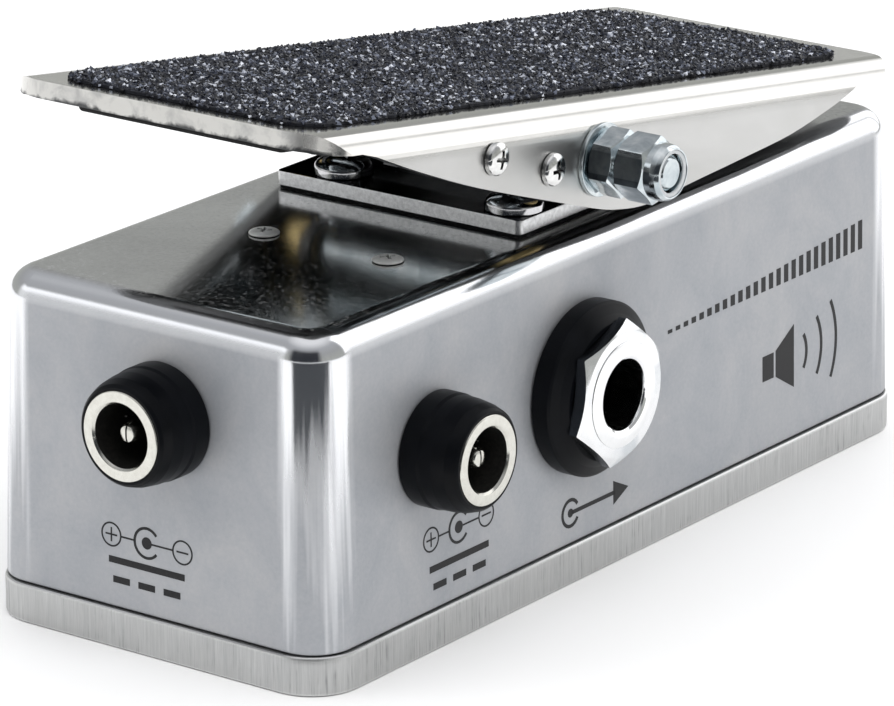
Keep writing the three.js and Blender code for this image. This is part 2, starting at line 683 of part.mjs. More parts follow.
const addPinion = (parent) => {
  const flank = toothFlank(PINION_TEETH);
  const [left, right] = PINION_X;
  const outline = [];
  for (let k = 0; k < PINION_TEETH; k++) {
    // the half step puts a gap on the line of centres
    const centre = MESH_ANGLE + (k + 0.5) * 360 / PINION_TEETH;
    outline.push(...toothPoints(flank, centre, polar));
  }
  const pinion = slab(outline, left, right)
    .add(rod('x', 2.75, [left - 1.5, left + 0.1]))
    .subtract(rod('x', 2.04, ACROSS));
  add(parent, 'pinion', pinion, materials.acetal);
};

// ---------------------------------------------------------------- potentiometer
const POT_WALL_X = -3.2;              // face of the bracket that the body sits on
const POT_BRACKET_T = 1.2;

const addPotentiometer = (parent) => {
  const shaft = rod('x', 2, [PINION_X[0] - 1.9, POT_WALL_X + 1.5]);
  add(parent, 'pot_shaft', shaft, materials.zincSteel);

  // body with threaded neck, blind bore for the shaft, and a block on its lower side
  const profile = [
    [2.1, -5.2], [3.4, -5.2], [3.4, 0], [8.2, 0], [8.2, 6.6],
    [7.6, 7.6], [0, 7.6], [0, 1.9], [2.1, 1.9],
  ];
  const body = toSolid(along(turned(profile, 19), '+x', POT_WALL_X + GAP, 0, 0))
    .add(box(POT_WALL_X + 1.2, POT_WALL_X + 2.7, -6, 6, -11.2, -6));
  add(parent, 'pot_body', body, materials.phenolic);

  const nut = hexNut({ flats: 9.6, height: 1.8, bore: 3.55 });
  const nutX = POT_WALL_X - POT_BRACKET_T - GAP;
  add(parent, 'pot_nut', solidAlong(nut, '-x', nutX, 0, 0), materials.zincSteel);
};

// Folded bracket under the lid
const addPotBracket = () => {
  const heelY = -38.8;
  const toeY = -21;
  const top = ROOF_Z - GAP;
  const left = POT_WALL_X - POT_BRACKET_T;
  let bracket = box(left, POT_WALL_X, heelY, toeY, POT_Z - 9.5, top)
    .add(box(left, 8.4, heelY, toeY, top - POT_BRACKET_T, top));
  bracket = drill(bracket, 'x', 3.5, [-10, 0], [[POT_Y, POT_Z]], 16);
  bracket = drill(bracket, 'z', 1, LID_SPAN, POT_SCREWS);
  add(root, 'pot_bracket', bracket, materials.zincSteel);
};

// Small domed screws standing on the lid
const addLidScrews = (name, places, length) => {
  const profile = [
    [0, -length], [0.85, -length], [0.85, GAP], [1.55, GAP], [1.5, 0.35], [1.05, 0.62], [0, 0.68],
  ];
  places.forEach(([x, y], i) => {
    const screw = turned(profile, 13).translate(x, y, BOX_TOP);
    add(root, `${name}_${i + 1}`, screw, materials.chrome);
  });
};

// ---------------------------------------------------------------- circuit board, heel stop
const BOARD_TOP = 26.6;

// Board hung from the lid on spacers
const addCircuitBoard = () => {
  const sheet = box(-14.2, 12.4, 16.6, 32.2, BOARD_TOP - 1.6, BOARD_TOP);
  const board = drill(sheet, 'z', 1, [20, 30], BOARD_SCREWS);
  add(root, 'circuit_board', board, materials.boardGreen);
};

const addBoardSpacers = () => {
  const low = BOARD_TOP + GAP;
  const high = ROOF_Z - GAP;
  BOARD_SCREWS.forEach(([x, y], i) => {
    const spacer = turned([[1, low], [2.2, low], [2.2, high], [1, high]], 12);
    add(root, `board_spacer_${i + 1}`, spacer.translate(x, y, 0), materials.brass);
  });
};

const addHeelBumper = () => {
  const bumper = roundedBlock({ width: 18, length: 3, radius: 1.2, height: 1.7, segments: 3 },
    CENTRE_X, -41.4, BOX_TOP + GAP);
  add(root, 'heel_bumper', bumper, materials.blackRubber);
};

// ---------------------------------------------------------------- audio sockets
const addAudioSocket = (name, direction, y) => {
  const side = direction === '-x' ? -1 : 1;
  const seatX = side * boxSide(AUDIO_Z - 8.2);      // wall face near the bezel's lower edge
  const wall = 2.3;
  const boreR = 3.25;

  // wide collar with a sloped face
  const bezel = turned([
    [4.95, GAP], [8.15, GAP], [8.15, 1.7], [7.9, 1.95], [7.1, 2.45], [6.4, 3], [4.95, 3],
  ], 22);
  const laidBezel = along(bezel, direction, seatX, y, AUDIO_Z);
  add(root, `${name}_bezel`, laidBezel, materials.blackPlastic);

  const nut = hexNut({ flats: 12, height: 1.4, bore: 4.85, chamfer: 0.3, turn: -10 });
  const laidNut = solidAlong(nut, direction, seatX + side * 3.04, y, AUDIO_Z);
  add(root, `${name}_nut`, laidNut, materials.chrome);

  // threaded sleeve with the plug bore
  const sleeve = turned([
    [boreR, -wall - 1.2], [4.7, -wall - 1.2], [4.7, 4.35],
    [4.3, 4.85], [3.45, 4.85], [boreR, 4.65],
  ], 18);
  const laidSleeve = along(sleeve, direction, seatX, y, AUDIO_Z);
  add(root, `${name}_sleeve`, laidSleeve, materials.chrome);

  // moulded housing behind the wall, open towards the plug
  const front = seatX - side * (wall + 0.35);
  const back = seatX - side * (wall + 21.5);
  const centre = [[y, AUDIO_Z]];
  let housing = box(front, back, y - 7.4, y + 7.4, AUDIO_Z - 6.4, AUDIO_Z + 6.4);
  housing = drill(housing, 'x', 4.8, [front + side, front - side * 1.3], centre, 16);
  housing = drill(housing, 'x', boreR, [front + side, back + side * 1.2], centre, 16);
  add(root, `${name}_housing`, housing, materials.blackPlastic);
};

// ---------------------------------------------------------------- power sockets
const POWER_SEAT_DROP = 5.4;          // the wall face is taken this far below the socket's axis

const addPowerSocket = (name, ...where) => {
  const out = 6;                      // how far the socket stands out of the wall
  const recess = out - 0.75;
  const parts = [
    ['shell', materials.blackPlastic, 19, [
      [3.4, -8.5], [4, -8.5], [4, GAP], [5.25, GAP], [5.25, 1.8], [5.15, 3.2], [4.95, 4.6],
      [4.75, 5.4], [4.4, out - 0.1], [4.15, out - 0.1], [4.15, recess], [3.4, recess],
    ]],
    ['ring', materials.nickelRing, 19, [
      [2.9, -8], [3.35, -8], [3.35, out - 0.72], [4.1, out - 0.72],
      [4.1, out], [3.1, out], [2.9, out - 0.2],
    ]],
    ['pin', materials.nickelRing, 17, [
      [0, -10.2], [4, -10.2], [4, -8.55], [2.8, -8.55], [2.8, -5.5], [1, -5.5],
      [1, out - 0.7], [0.7, out - 0.3], [0, out - 0.3],
    ]],
  ];
  for (const [part, material, segments, profile] of parts) {
    add(root, `${name}_${part}`, along(turned(profile, segments), ...where), material);
  }
};

// ---------------------------------------------------------------- assembly
addBasePlate();
addBaseScrews();
addEnclosure();

addHingeGasket();
addHingeBase();
addHingeBracket();
addBracketRivets();
addHingeScrews();
addAxleBushes();

addTreadlePlate();
addGripPad();
addToeBumper();
addTreadleYoke();
addYokeScrews();
addAxle();

addSectorGear();
addSectorRivets();
const pot = addGroup(POT_Y, POT_Z);
addPinion(pot);
addPotentiometer(pot);
addPotBracket();
addLidScrews('pot_bracket_screw', POT_SCREWS, 4.6);

addCircuitBoard();
addLidScrews('board_screw', BOARD_SCREWS, 8.4);
addBoardSpacers();
addHeelBumper();

addAudioSocket('output_socket', '-x', OUTPUT_Y);
addAudioSocket('input_socket', '+x', INPUT_Y);
addPowerSocket('power_socket_toe', '+y',
  POWER_TOE.x, boxEnd(POWER_TOE.z - POWER_SEAT_DROP), POWER_TOE.z);
addPowerSocket('power_socket_side', '-x',
  -boxSide(POWER_SIDE.z - POWER_SEAT_DROP), POWER_SIDE.y, POWER_SIDE.z);

export default root;
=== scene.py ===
# A foot treadle on a die-cast box: base plate, box, hinge, treadle with grit pad, axle
# hardware, two audio sockets and two power sockets.
# Sizes are in millimetres, meshes are stored in metres. In the box frame x runs across,
# y along the box (toe at +y, heel at -y) and z up from the underside of the base plate.
# Left is -x. The treadle has its own frame (x, s, n) with its origin on the axle line:
# s runs along the sheet towards the toe and n stands square to it, tilted by TILT degrees.
import bpy, bmesh, math
import numpy as np
from mathutils import Vector, Matrix


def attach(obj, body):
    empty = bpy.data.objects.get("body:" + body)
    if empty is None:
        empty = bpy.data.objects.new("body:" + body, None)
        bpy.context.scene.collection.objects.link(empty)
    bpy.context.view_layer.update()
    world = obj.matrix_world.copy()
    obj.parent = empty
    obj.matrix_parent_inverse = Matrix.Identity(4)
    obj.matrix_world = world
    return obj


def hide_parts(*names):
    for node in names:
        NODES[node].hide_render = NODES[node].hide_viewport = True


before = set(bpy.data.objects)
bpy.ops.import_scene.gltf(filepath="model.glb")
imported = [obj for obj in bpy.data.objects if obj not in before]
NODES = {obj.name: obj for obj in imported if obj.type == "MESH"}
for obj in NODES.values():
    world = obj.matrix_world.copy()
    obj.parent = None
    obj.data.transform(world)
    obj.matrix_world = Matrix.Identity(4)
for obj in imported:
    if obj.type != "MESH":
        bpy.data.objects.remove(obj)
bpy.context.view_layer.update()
rad = math.radians
scene = bpy.context.scene

# ------------------------------------------------------------------ sizes
GAP = 0.02  # clearance between touching pieces

PLATE_LENGTH, PLATE_WIDTH, PLATE_THICK, PLATE_CORNER = 94.0, 38.7, 3.65, 4.85
BOX_LENGTH, BOX_WIDTH, BOX_CORNER = 93.18, 37.88, 4.0
BOX_BOTTOM, BOX_TOP = 3.73, 32.5
BOX_ROUND = 2.6  # radius between the sides and the lid
BOX_DRAFT = 0.58  # how far each side leans in from bottom to top
BOX_WALL, BOX_ROOF = 2.0, 2.3

CENTRE_X, AXLE_Y, AXLE_Z, TILT = -1.0, 6.4, 39.6, 8.17
SHEET_WIDTH, SHEET_THICK, SHEET_BEND, SHEET_TOP = 37.2, 1.6, 3.2, 5.12
SHEET_TOE, SHEET_HEEL, SHEET_CORNER = 40.05, -51.55, 5.5
SHEET_LEFT, SHEET_RIGHT = CENTRE_X - SHEET_WIDTH / 2, CENTRE_X + SHEET_WIDTH / 2
PAD_WIDTH, PAD_TOE, PAD_HEEL, PAD_CORNER = 28.3, 37.9, -47.7, 3.8

GASKET_THICK, STRIP_THICK, CHANNEL_THICK = 0.25, 1.4, 1.2
STRIP_Z = BOX_TOP + GASKET_THICK
CHANNEL_Z = STRIP_Z + STRIP_THICK
STRIP_HEEL, STRIP_TOE, STRIP_HALF = -14.4, 11.7, 13.65
CHANNEL_HALF = STRIP_HALF - 0.05

JACK_Z, JACK_OUT_Y, JACK_IN_Y = 18.4, 7.6, -12.0
POWER_TOE_X, POWER_TOE_Z = -1.5, 22.4
POWER_SIDE_Y, POWER_SIDE_Z = 30.2, 18.8

# screw and rivet places: (x, y) in the box frame, (s, n) in the treadle frame
BASE_SCREWS = [(-14.0, -41.6), (14.0, -41.6), (-14.0, 41.6), (14.0, 41.6)]
BRACKET_SCREWS = [(-11.8, 8.6), (7.6, 8.6), (CENTRE_X - 4.6, -11.4), (CENTRE_X + 9.9, -11.4)]
BRACKET_RIVETS = [(CENTRE_X - 4, -2.2), (CENTRE_X + 6, -2.2)]
BOARD_SCREWS = [(4.9, 23.9), (-9.05, 23.9)]
POT_SCREWS = [(3.0, -23.5), (3.0, -37.0)]
YOKE_SCREWS = [(16.4, 1.5), (7.55, -0.25)]


def box_draft(z):
    return BOX_DRAFT * (z - BOX_BOTTOM) / (BOX_TOP - BOX_BOTTOM)


def box_side(z):
    return BOX_WIDTH / 2 - box_draft(z)


def box_end(z):
    return BOX_LENGTH / 2 - box_draft(z)


# ------------------------------------------------------------------ node helpers
class Nodes:
    """Short calls for building a node tree. Colours are plain (r, g, b) tuples."""

    def __init__(self, tree):
        self.tree = tree

    def node(self, kind, **settings):
        node = self.tree.nodes.new(kind)
        for key, value in settings.items():
            setattr(node, key, value)
        return node

    def put(self, socket, value):
        if isinstance(value, tuple):
            socket.default_value = (*value, 1.0)
        elif isinstance(value, (int, float)):
            socket.default_value = value
        else:
            self.tree.links.new(value, socket)

    def ramp(self, factor, stops):
        """Stops are (position, colour or grey level)."""
        node = self.node("ShaderNodeValToRGB")
        self.put(node.inputs[0], factor)
        elements = node.color_ramp.elements
        while len(elements) < len(stops):
            elements.new(0.5)
        for element, (position, tone) in zip(elements, stops):
            element.position = position
            element.color = (*tone, 1) if isinstance(tone, tuple) else (tone, tone, tone, 1)
        return node.outputs[0]

    def math(self, operation, a, b=0.0):
        node = self.node("ShaderNodeMath", operation=operation)
        self.put(node.inputs[0], a)
        self.put(node.inputs[1], b)
        return node.outputs[0]

    def times(self, a, b):
        return self.math("MULTIPLY", a, b)

    def plus(self, a, b):
        return self.math("ADD", a, b)

    def inverse(self, a):
        return self.math("SUBTRACT", 1.0, a)

    def mix(self, factor, a, b):
        """Colour mix: a where factor is 0, b where it is 1."""
        node = self.node("ShaderNodeMix", data_type="RGBA")
        for i, value in ((0, factor), (6, a), (7, b)):
            self.put(node.inputs[i], value)
        return node.outputs[2]

    def split(self, vector):
        node = self.node("ShaderNodeSeparateXYZ")
        self.put(node.inputs[0], vector)
        return node.outputs


MATERIALS = {}


class Material(Nodes):
    INPUTS = {"color": "Base Color", "rough": "Roughness", "metal": "Metallic",
              "normal": "Normal", "coat": "Coat Weight", "spec": "Specular IOR Level"}

    def __init__(self, name):
        self.name = name
        self.material = bpy.data.materials.new(name)
        self.material.use_nodes = True
        super().__init__(self.material.node_tree)
        self.surface = self.tree.nodes["Principled BSDF"]
        self.texture = self.node("ShaderNodeTexCoord").outputs
        self.normal = self.texture["Normal"]

    def coords(self, scale=1):
        """Object coordinates in millimetres times scale (one number or three)."""
        scale = scale if isinstance(scale, tuple) else (scale,) * 3
        node = self.node("ShaderNodeMapping")
        self.put(node.inputs[0], self.texture["Object"])
        node.inputs["Scale"].default_value = tuple(1000.0 * s for s in scale)
        return node.outputs[0]

    def noise(self, scale, detail=4, roughness=0.6, distortion=0.0):
        vector = self.coords(scale)
        node = self.node("ShaderNodeTexNoise")
        for key, value in (("Vector", vector), ("Scale", 1.0), ("Detail", detail),
                           ("Roughness", roughness), ("Distortion", distortion)):
            self.put(node.inputs[key], value)
        return node.outputs["Fac"]

    def tones(self, factor, dark, light, at=(0.3, 0.7)):
        return self.ramp(factor, [(at[0], dark), (at[1], light)])

    def remap(self, value, source=(0.3, 0.7), to=(0, 1)):
        node = self.node("ShaderNodeMapRange")
        self.put(node.inputs["Value"], value)
        for key, number in zip(("From Min", "From Max", "To Min", "To Max"), (*source, *to)):
            node.inputs[key].default_value = number
        return node.outputs["Result"]

    def math(self, operation, a, b=0.0):
        result = super().math(operation, a, b)
        result.node.inputs[2].default_value = 0.0
        return result

    def size(self, a):
        return self.math("ABSOLUTE", a)

    def blend(self, first, share, second):
        return self.plus(self.times(first, share), self.times(second, 1 - share))

    def mix_value(self, factor, a, b):
        node = self.node("ShaderNodeMix", data_type="FLOAT")
        for i, value in ((0, factor), (2, a), (3, b)):
            self.put(node.inputs[i], value)
        return node.outputs[0]

    def bump(self, height, strength, distance):
        node = self.node("ShaderNodeBump")
        for key, value in (("Strength", strength), ("Distance", distance), ("Height", height)):
            self.put(node.inputs[key], value)
        return node.outputs[0]

    def crevice_shade(self, color, dark, distance, low=0.25, high=0.72):
        """Painted shade in narrow recesses: the colour goes dark where ambient occlusion is low."""
        node = self.node("ShaderNodeAmbientOcclusion")
        node.samples = 8
        node.inputs["Distance"].default_value = distance
        return self.mix(self.remap(node.outputs["AO"], (low, high)), dark, color)

    def finish(self, **settings):
        for key, value in settings.items():
            self.put(self.surface.inputs[self.INPUTS[key]], value)
        MATERIALS[self.name] = self.material
        return self.material


# ------------------------------------------------------------------ materials
def cast_aluminium():
    """Satin die-cast sides, polished lid, bright edges between the two."""
    mat = Material("cast_aluminium")
    cloud = mat.noise(0.05, distortion=0.6)
    fine = mat.noise(1.6, roughness=0.7)
    grain = mat.noise((9, 9, 2.2), detail=2)
    normal_z = mat.split(mat.normal)[2]
    top = mat.remap(normal_z, (0.93, 0.995))
    side = mat.remap(normal_z, (0.02, 0.5), to=(1, 0))
    # the vertical corners are buffed, more so towards the lid
    x, y, z = mat.split(mat.coords())
    corner_x = mat.remap(mat.size(x), (BOX_WIDTH / 2 - 5.1, BOX_WIDTH / 2 - 4.3))
    corner_y = mat.remap(mat.size(y), (BOX_LENGTH / 2 - 5.3, BOX_LENGTH / 2 - 4.3))
    streaks = mat.remap(mat.noise((1.1, 1.1, 0.03), detail=2, roughness=0.5), to=(-9, 9))
    height = mat.remap(mat.plus(z, streaks), (6.0, 26.0), to=(0.04, 1.0))
    buffed = mat.times(mat.times(corner_x, corner_y), height)
    side = mat.times(side, mat.inverse(buffed))
    patch = mat.noise((0.14, 0.14, 0.11), detail=5, roughness=0.66, distortion=0.5)
    speck = mat.noise(2.6, detail=2, roughness=0.7)
    side_color = mat.ramp(mat.blend(patch, 0.72, speck), [
        (0.34, (0.352, 0.369, 0.397)), (0.5, (0.402, 0.413, 0.436)), (0.66, (0.452, 0.457, 0.470))])
    top_color = mat.ramp(mat.blend(cloud, 0.6, speck), [
        (0.36, (0.55, 0.553, 0.55)), (0.5, (0.64, 0.643, 0.64)), (0.64, (0.73, 0.733, 0.73))])
    edge_color = (0.80, 0.81, 0.83)
    color = mat.mix(top, mat.mix(side, edge_color, side_color), top_color)
    # fine dust lying on the lid
    dust_noise = mat.noise(2.3, detail=2, distortion=0.2)
    dust = mat.times(top, mat.remap(dust_noise, (0.57, 0.68), to=(0, 0.42)))
    color = mat.mix(dust, color, (0.62, 0.63, 0.65))
    side_rough = mat.remap(cloud, to=(0.50, 0.58))
    edge_rough = mat.remap(cloud, to=(0.10, 0.15))
    top_rough = mat.remap(fine, (0.35, 0.75), to=(0.105, 0.15))
    relief = mat.mix_value(top, mat.blend(fine, 0.6, grain), mat.times(fine, 0.12))
    mat.finish(
        color=color,
        metal=mat.mix_value(dust, mat.mix_value(side, 1.0, 0.42), 0.35),
        rough=mat.mix_value(top, mat.mix_value(side, edge_rough, side_rough), top_rough),
        normal=mat.bump(relief, strength=0.22, distance=2e-5))


def cut_aluminium():
    """Cut and brushed aluminium: streaks run up and down the edge."""
    mat = Material("cut_aluminium")
    coarse = mat.noise((3.2, 3.2, 0.12), roughness=0.75)
    narrow = mat.noise((9.0, 9.0, 0.25), detail=2)
    cloud = mat.noise(0.09, detail=3)
    streaks = mat.blend(coarse, 0.5, narrow)
    color = mat.ramp(streaks, [
        (0.28, (0.41, 0.415, 0.42)), (0.5, (0.495, 0.50, 0.498)), (0.72, (0.60, 0.605, 0.60))])
    color = mat.mix(mat.remap(cloud, (0.35, 0.65), to=(0, 0.45)), color, (0.46, 0.462, 0.455))
    # groups of darker scratches across the cut edge
    lines = mat.remap(mat.noise((5.5, 5.5, 0.16), detail=2), (0.54, 0.64))
    groups = mat.remap(mat.noise((0.16, 0.16, 0.22), detail=3), (0.46, 0.62), to=(0.12, 1.0))
    scratches = mat.times(mat.times(lines, groups), 0.6)
    color = mat.mix(scratches, color, (0.20, 0.202, 0.205))
    # the broken (chamfered and rounded) edges carry a painted highlight, a brighter colour
    steepness = mat.size(mat.split(mat.normal)[2])
    edge_highlight = mat.times(mat.remap(steepness, (0.12, 0.4)),
                    mat.remap(steepness, (0.9, 0.98), to=(1, 0)))
    mat.finish(
        color=mat.mix(mat.times(edge_highlight, 0.75), color, (0.86, 0.865, 0.86)),
        metal=1.0,
        rough=mat.remap(streaks, to=(0.44, 0.32)),
        normal=mat.bump(streaks, strength=0.3, distance=3e-5))


def hinge_strip():
    """Light aluminium strip: satin edge, mirror top with painted shade, a near-black colour."""
    mat = Material("hinge_strip")
    top = mat.remap(mat.split(mat.normal)[2], (0.9, 0.99))
    fine = mat.noise(2.4, roughness=0.7)
    pits = mat.noise(0.5, detail=5, roughness=0.7)
    edge_color = mat.tones(fine, (0.58, 0.585, 0.59), (0.84, 0.845, 0.85))
    # painted shade: the top's near-black colour stands in for the treadle's shadow and its dark
    # reflection
    top_color = mat.tones(pits, (0.13, 0.13, 0.14), (0.24, 0.24, 0.25), at=(0.4, 0.62))
    edge_rough = mat.remap(fine, to=(0.42, 0.31))
    top_rough = mat.remap(pits, to=(0.05, 0.11))
    mat.finish(
        color=mat.mix(top, edge_color, top_color),
        metal=1.0,
        rough=mat.mix_value(top, edge_rough, top_rough),
        normal=mat.bump(fine, strength=0.35, distance=2e-5))


def polished_steel():
    """Nickel-plated sheet: bright outside, satin flanks, dull inner faces with painted shade, a
    near-black colour.
    """
    mat = Material("polished_steel")
    fine = mat.noise((1.2, 0.35, 1.2), detail=5, roughness=0.7)
    cloud = mat.noise((0.07, 0.05, 0.07), distortion=0.8)
    blot = mat.noise(0.45, roughness=0.65, distortion=0.4)
    hair = mat.noise((14, 0.8, 14), detail=2)
    normal_x, normal_y, normal_z = mat.split(mat.normal)
    end = mat.remap(mat.size(normal_y), (0.8, 0.97))
    # n of the treadle frame, with a ragged limit, finds the inside of the treadle sheet, where
    # shade is painted
    x, y, z = mat.split(mat.coords())
    height = mat.plus(
        mat.times(mat.math("SUBTRACT", y, AXLE_Y), -math.sin(rad(TILT))),
        mat.times(mat.math("SUBTRACT", z, AXLE_Z), math.cos(rad(TILT))))
    height = mat.plus(height, mat.remap(blot, (0.35, 0.65), to=(0.30, -0.15)))
    inner_half, inner_top = SHEET_WIDTH / 2 - SHEET_THICK, SHEET_TOP - SHEET_THICK
    between = mat.remap(mat.size(mat.math("SUBTRACT", x, CENTRE_X)),
                        (inner_half + 0.18, inner_half + 0.30), to=(1, 0))
    below = mat.remap(height, (inner_top + 0.10, inner_top + 0.42), to=(1, 0))
    shaded_inside = mat.math("MAXIMUM", mat.remap(normal_z, (-0.5, -0.9)), mat.times(between, below))
    color = mat.tones(cloud, (0.665, 0.655, 0.625), (0.735, 0.727, 0.70))
    # the toe and heel edges carry dull blotches
    blotches = mat.times(end, mat.remap(blot, (0.44, 0.66), to=(0.0, 0.45)))
    color = mat.mix(blotches, color, (0.26, 0.265, 0.275))
    # painted shade: the underside and the inside of the sheet go near-black
    color = mat.mix(mat.times(shaded_inside, 0.95), color, (0.085, 0.087, 0.09))
    flank = mat.remap(mat.size(normal_x), (0.93, 0.995))
    flank_color = mat.tones(cloud, (0.50, 0.499, 0.487), (0.585, 0.584, 0.575))
    color = mat.mix(mat.times(flank, mat.inverse(shaded_inside)), color, flank_color)
    outer_rough = mat.mix_value(flank, mat.remap(fine, to=(0.11, 0.17)),
                                mat.remap(fine, to=(0.31, 0.38)))
    mat.finish(
        color=color,
        metal=1.0,
        rough=mat.mix_value(shaded_inside, mat.mix_value(end, outer_rough, 0.33), 0.42),
        normal=mat.bump(mat.plus(fine, mat.times(hair, 0.35)), strength=0.10, distance=2e-5))


def zinc(name, dark, middle, light, painted_dark_flats=False):
    """Bright zinc plate, cool blue tone. When asked for, the steep flats facing along y get a
    painted dark reflection: a near-black colour, duller.
    """
    mat = Material(name)
    fine = mat.noise(2.2, roughness=0.7)
    cloud = mat.noise(0.5, detail=3, distortion=0.5)
    color = mat.ramp(cloud, [(0.3, dark), (0.55, middle), (0.75, light)])
    rough = mat.remap(fine, to=(0.09, 0.17))
    if painted_dark_flats:
        # painted dark reflection: near-black colour on the flats facing along y
        painted_dark_reflection = mat.tones(cloud, (0.035, 0.042, 0.050), (0.085, 0.098, 0.108))
        steep = mat.remap(mat.size(mat.split(mat.normal)[1]), (0.955, 0.98))
        color = mat.mix(steep, color, painted_dark_reflection)
        rough = mat.mix_value(steep, rough, 0.36)
    mat.finish(color=color, metal=1.0, rough=rough,
               normal=mat.bump(fine, strength=0.2, distance=2e-5))


def chrome_nut():
    """Satin-chromed nut: the turned face is bright; the milled flats carry a painted dark
    reflection, a near-black colour.
    """
    mat = Material("chrome_nut")
    fine = mat.noise(1.4, roughness=0.65)
    cloud = mat.noise(0.22, detail=3, distortion=0.4)
    face = mat.remap(mat.size(mat.split(mat.normal)[0]), (0.25, 0.6))
    face_color = mat.ramp(cloud, [
        (0.32, (0.62, 0.65, 0.675)), (0.5, (0.84, 0.85, 0.86)), (0.7, (0.92, 0.925, 0.93))])
    # painted dark reflection: the milled flats get a near-black colour
    mat.finish(
        color=mat.mix(face, (0.045, 0.05, 0.058), face_color),
        metal=1.0,
        rough=mat.mix_value(face, 0.22, mat.remap(fine, (0.35, 0.7), to=(0.14, 0.24))),
        normal=mat.bump(fine, strength=0.12, distance=1e-5))


def black_plastic():
    """Satin black moulding."""
    mat = Material("black_plastic")
    fine = mat.noise(5, detail=3)
    cloud = mat.noise(0.3)
    mat.finish(
        color=mat.tones(cloud, (0.0018, 0.0022, 0.0030), (0.0036, 0.0042, 0.0058)),
        metal=0.0, spec=0.10,
        rough=mat.remap(cloud, to=(0.30, 0.42)),
        normal=mat.bump(fine, strength=0.25, distance=2e-5))


def grit_grain():
    """Mineral grains: each carries its own random value in the attribute "grain"."""
    mat = Material("grit_grain")
    value = mat.node("ShaderNodeAttribute", attribute_name="grain").outputs["Fac"]
    # the near-white top of the ramp is a painted glint on the bright grains
    color = mat.ramp(value, [
        (0.0, (0.003, 0.0035, 0.006)), (0.50, (0.010, 0.012, 0.021)),
        (0.72, (0.035, 0.041, 0.062)), (0.88, (0.19, 0.21, 0.27)), (1.0, (0.80, 0.83, 0.90))])
    mat.finish(
        color=color, spec=0.5,
        metal=mat.remap(value, (0.78, 0.98), to=(0.0, 0.35)),
        rough=mat.remap(value, (0.0, 1.0), to=(0.45, 0.14)),
        normal=mat.bump(mat.noise(6, detail=3), strength=0.3, distance=3e-5))


def board_green():
    mat = Material("board_green")
    node = mat.node("ShaderNodeTexVoronoi")
    mat.put(node.inputs["Vector"], mat.coords(1.2))
    node.inputs["Scale"].default_value = 1.0
    weave = node.outputs["Distance"]
    mat.finish(
        color=mat.tones(weave, (0.012, 0.085, 0.035), (0.02, 0.13, 0.055), at=(0.1, 0.7)),
        coat=0.4,
        rough=mat.remap(weave, (0, 1), to=(0.25, 0.4)),
        normal=mat.bump(weave, strength=0.1, distance=2e-5))


# Surfaces driven by one noise:
# (name, (noise scale, detail, roughness), dark, light, roughness or its range over the
#  noise, (bump strength, bump distance), other settings)
PLAIN_SURFACES = [
    # the crevice settings paint shade into recesses by ambient occlusion
    ("bright_steel", (3, 3, 0.6), (0.68, 0.68, 0.67), (0.84, 0.84, 0.83), (0.08, 0.17),
     (0.15, 1e-5), dict(metal=1.0, crevice_shade=dict(dark=(0.02, 0.02, 0.02), distance=0.0006))),
    # the lid screws' surface: near-white and mostly non-metallic, a painted highlight for the glint
    # on their heads in the treadle's shade
    ("satin_screw", (3, 3, 0.6), (0.93, 0.93, 0.92), (0.99, 0.99, 0.98), 0.34,
     (0.2, 2e-5), dict(metal=0.2, crevice_shade=dict(dark=(0.01, 0.01, 0.01), distance=0.0005,
                                               low=0.35, high=0.8))),
    ("dark_plated", (3, 3, 0.6), (0.50, 0.50, 0.51), (0.66, 0.66, 0.67), (0.07, 0.14),
     (0.15, 1e-5), dict(metal=1.0, crevice_shade=dict(dark=(0.01, 0.01, 0.01), distance=0.0009))),
    ("chrome", (1.4, 4, 0.65), (0.86, 0.87, 0.875), (0.93, 0.935, 0.94), (0.05, 0.11),
     (0.08, 1e-5), dict(metal=1.0, rough_source=(0.35, 0.7))),
    ("nickel_ring", (2, 4, 0.65), (0.60, 0.59, 0.54), (0.71, 0.705, 0.655), (0.16, 0.24),
     (0.15, 1e-5), dict(metal=1.0)),
    ("socket_bore", (3, 3, 0.6), (0.006, 0.006, 0.006), (0.014, 0.0135, 0.012), 0.5,
     (0.2, 2e-5), dict(metal=0.0, spec=0.12)),
    ("black_rubber", (4, 4, 0.7), (0.005, 0.005, 0.0055), (0.014, 0.014, 0.015), (0.62, 0.85),
     (0.4, 5e-5), dict(metal=0.0, spec=0.25)),
    ("grit_binder", (3, 4, 0.7), (0.0055, 0.006, 0.0085), (0.016, 0.0175, 0.024), 0.7,
     (0.6, 8e-5), dict(metal=0.0, spec=0.3)),
    ("brass", (2, 4, 0.65), (0.60, 0.45, 0.20), (0.74, 0.58, 0.29), (0.30, 0.38),
     (0.2, 2e-5), dict(metal=1.0)),
    ("acetal", (1, 4, 0.65), (0.72, 0.70, 0.64), (0.80, 0.785, 0.73), (0.38, 0.52),
     (0.15, 2e-5), {}),
    ("phenolic", ((1.5, 1.5, 6), 4, 0.65), (0.09, 0.045, 0.022), (0.15, 0.078, 0.04), (0.4, 0.6),
     (0.2, 3e-5), {}),
    ("print_ink", (4, 4, 0.7), (0.006, 0.006, 0.007), (0.022, 0.022, 0.024), (0.4, 0.6),
     (0.3, 1e-5), dict(spec=0.3, tones_at=(0.35, 0.75))),
    ("nylon_insert", (3, 3, 0.6), (0.48, 0.50, 0.52), (0.60, 0.62, 0.63), 0.4,
     (0.15, 2e-5), {}),
]


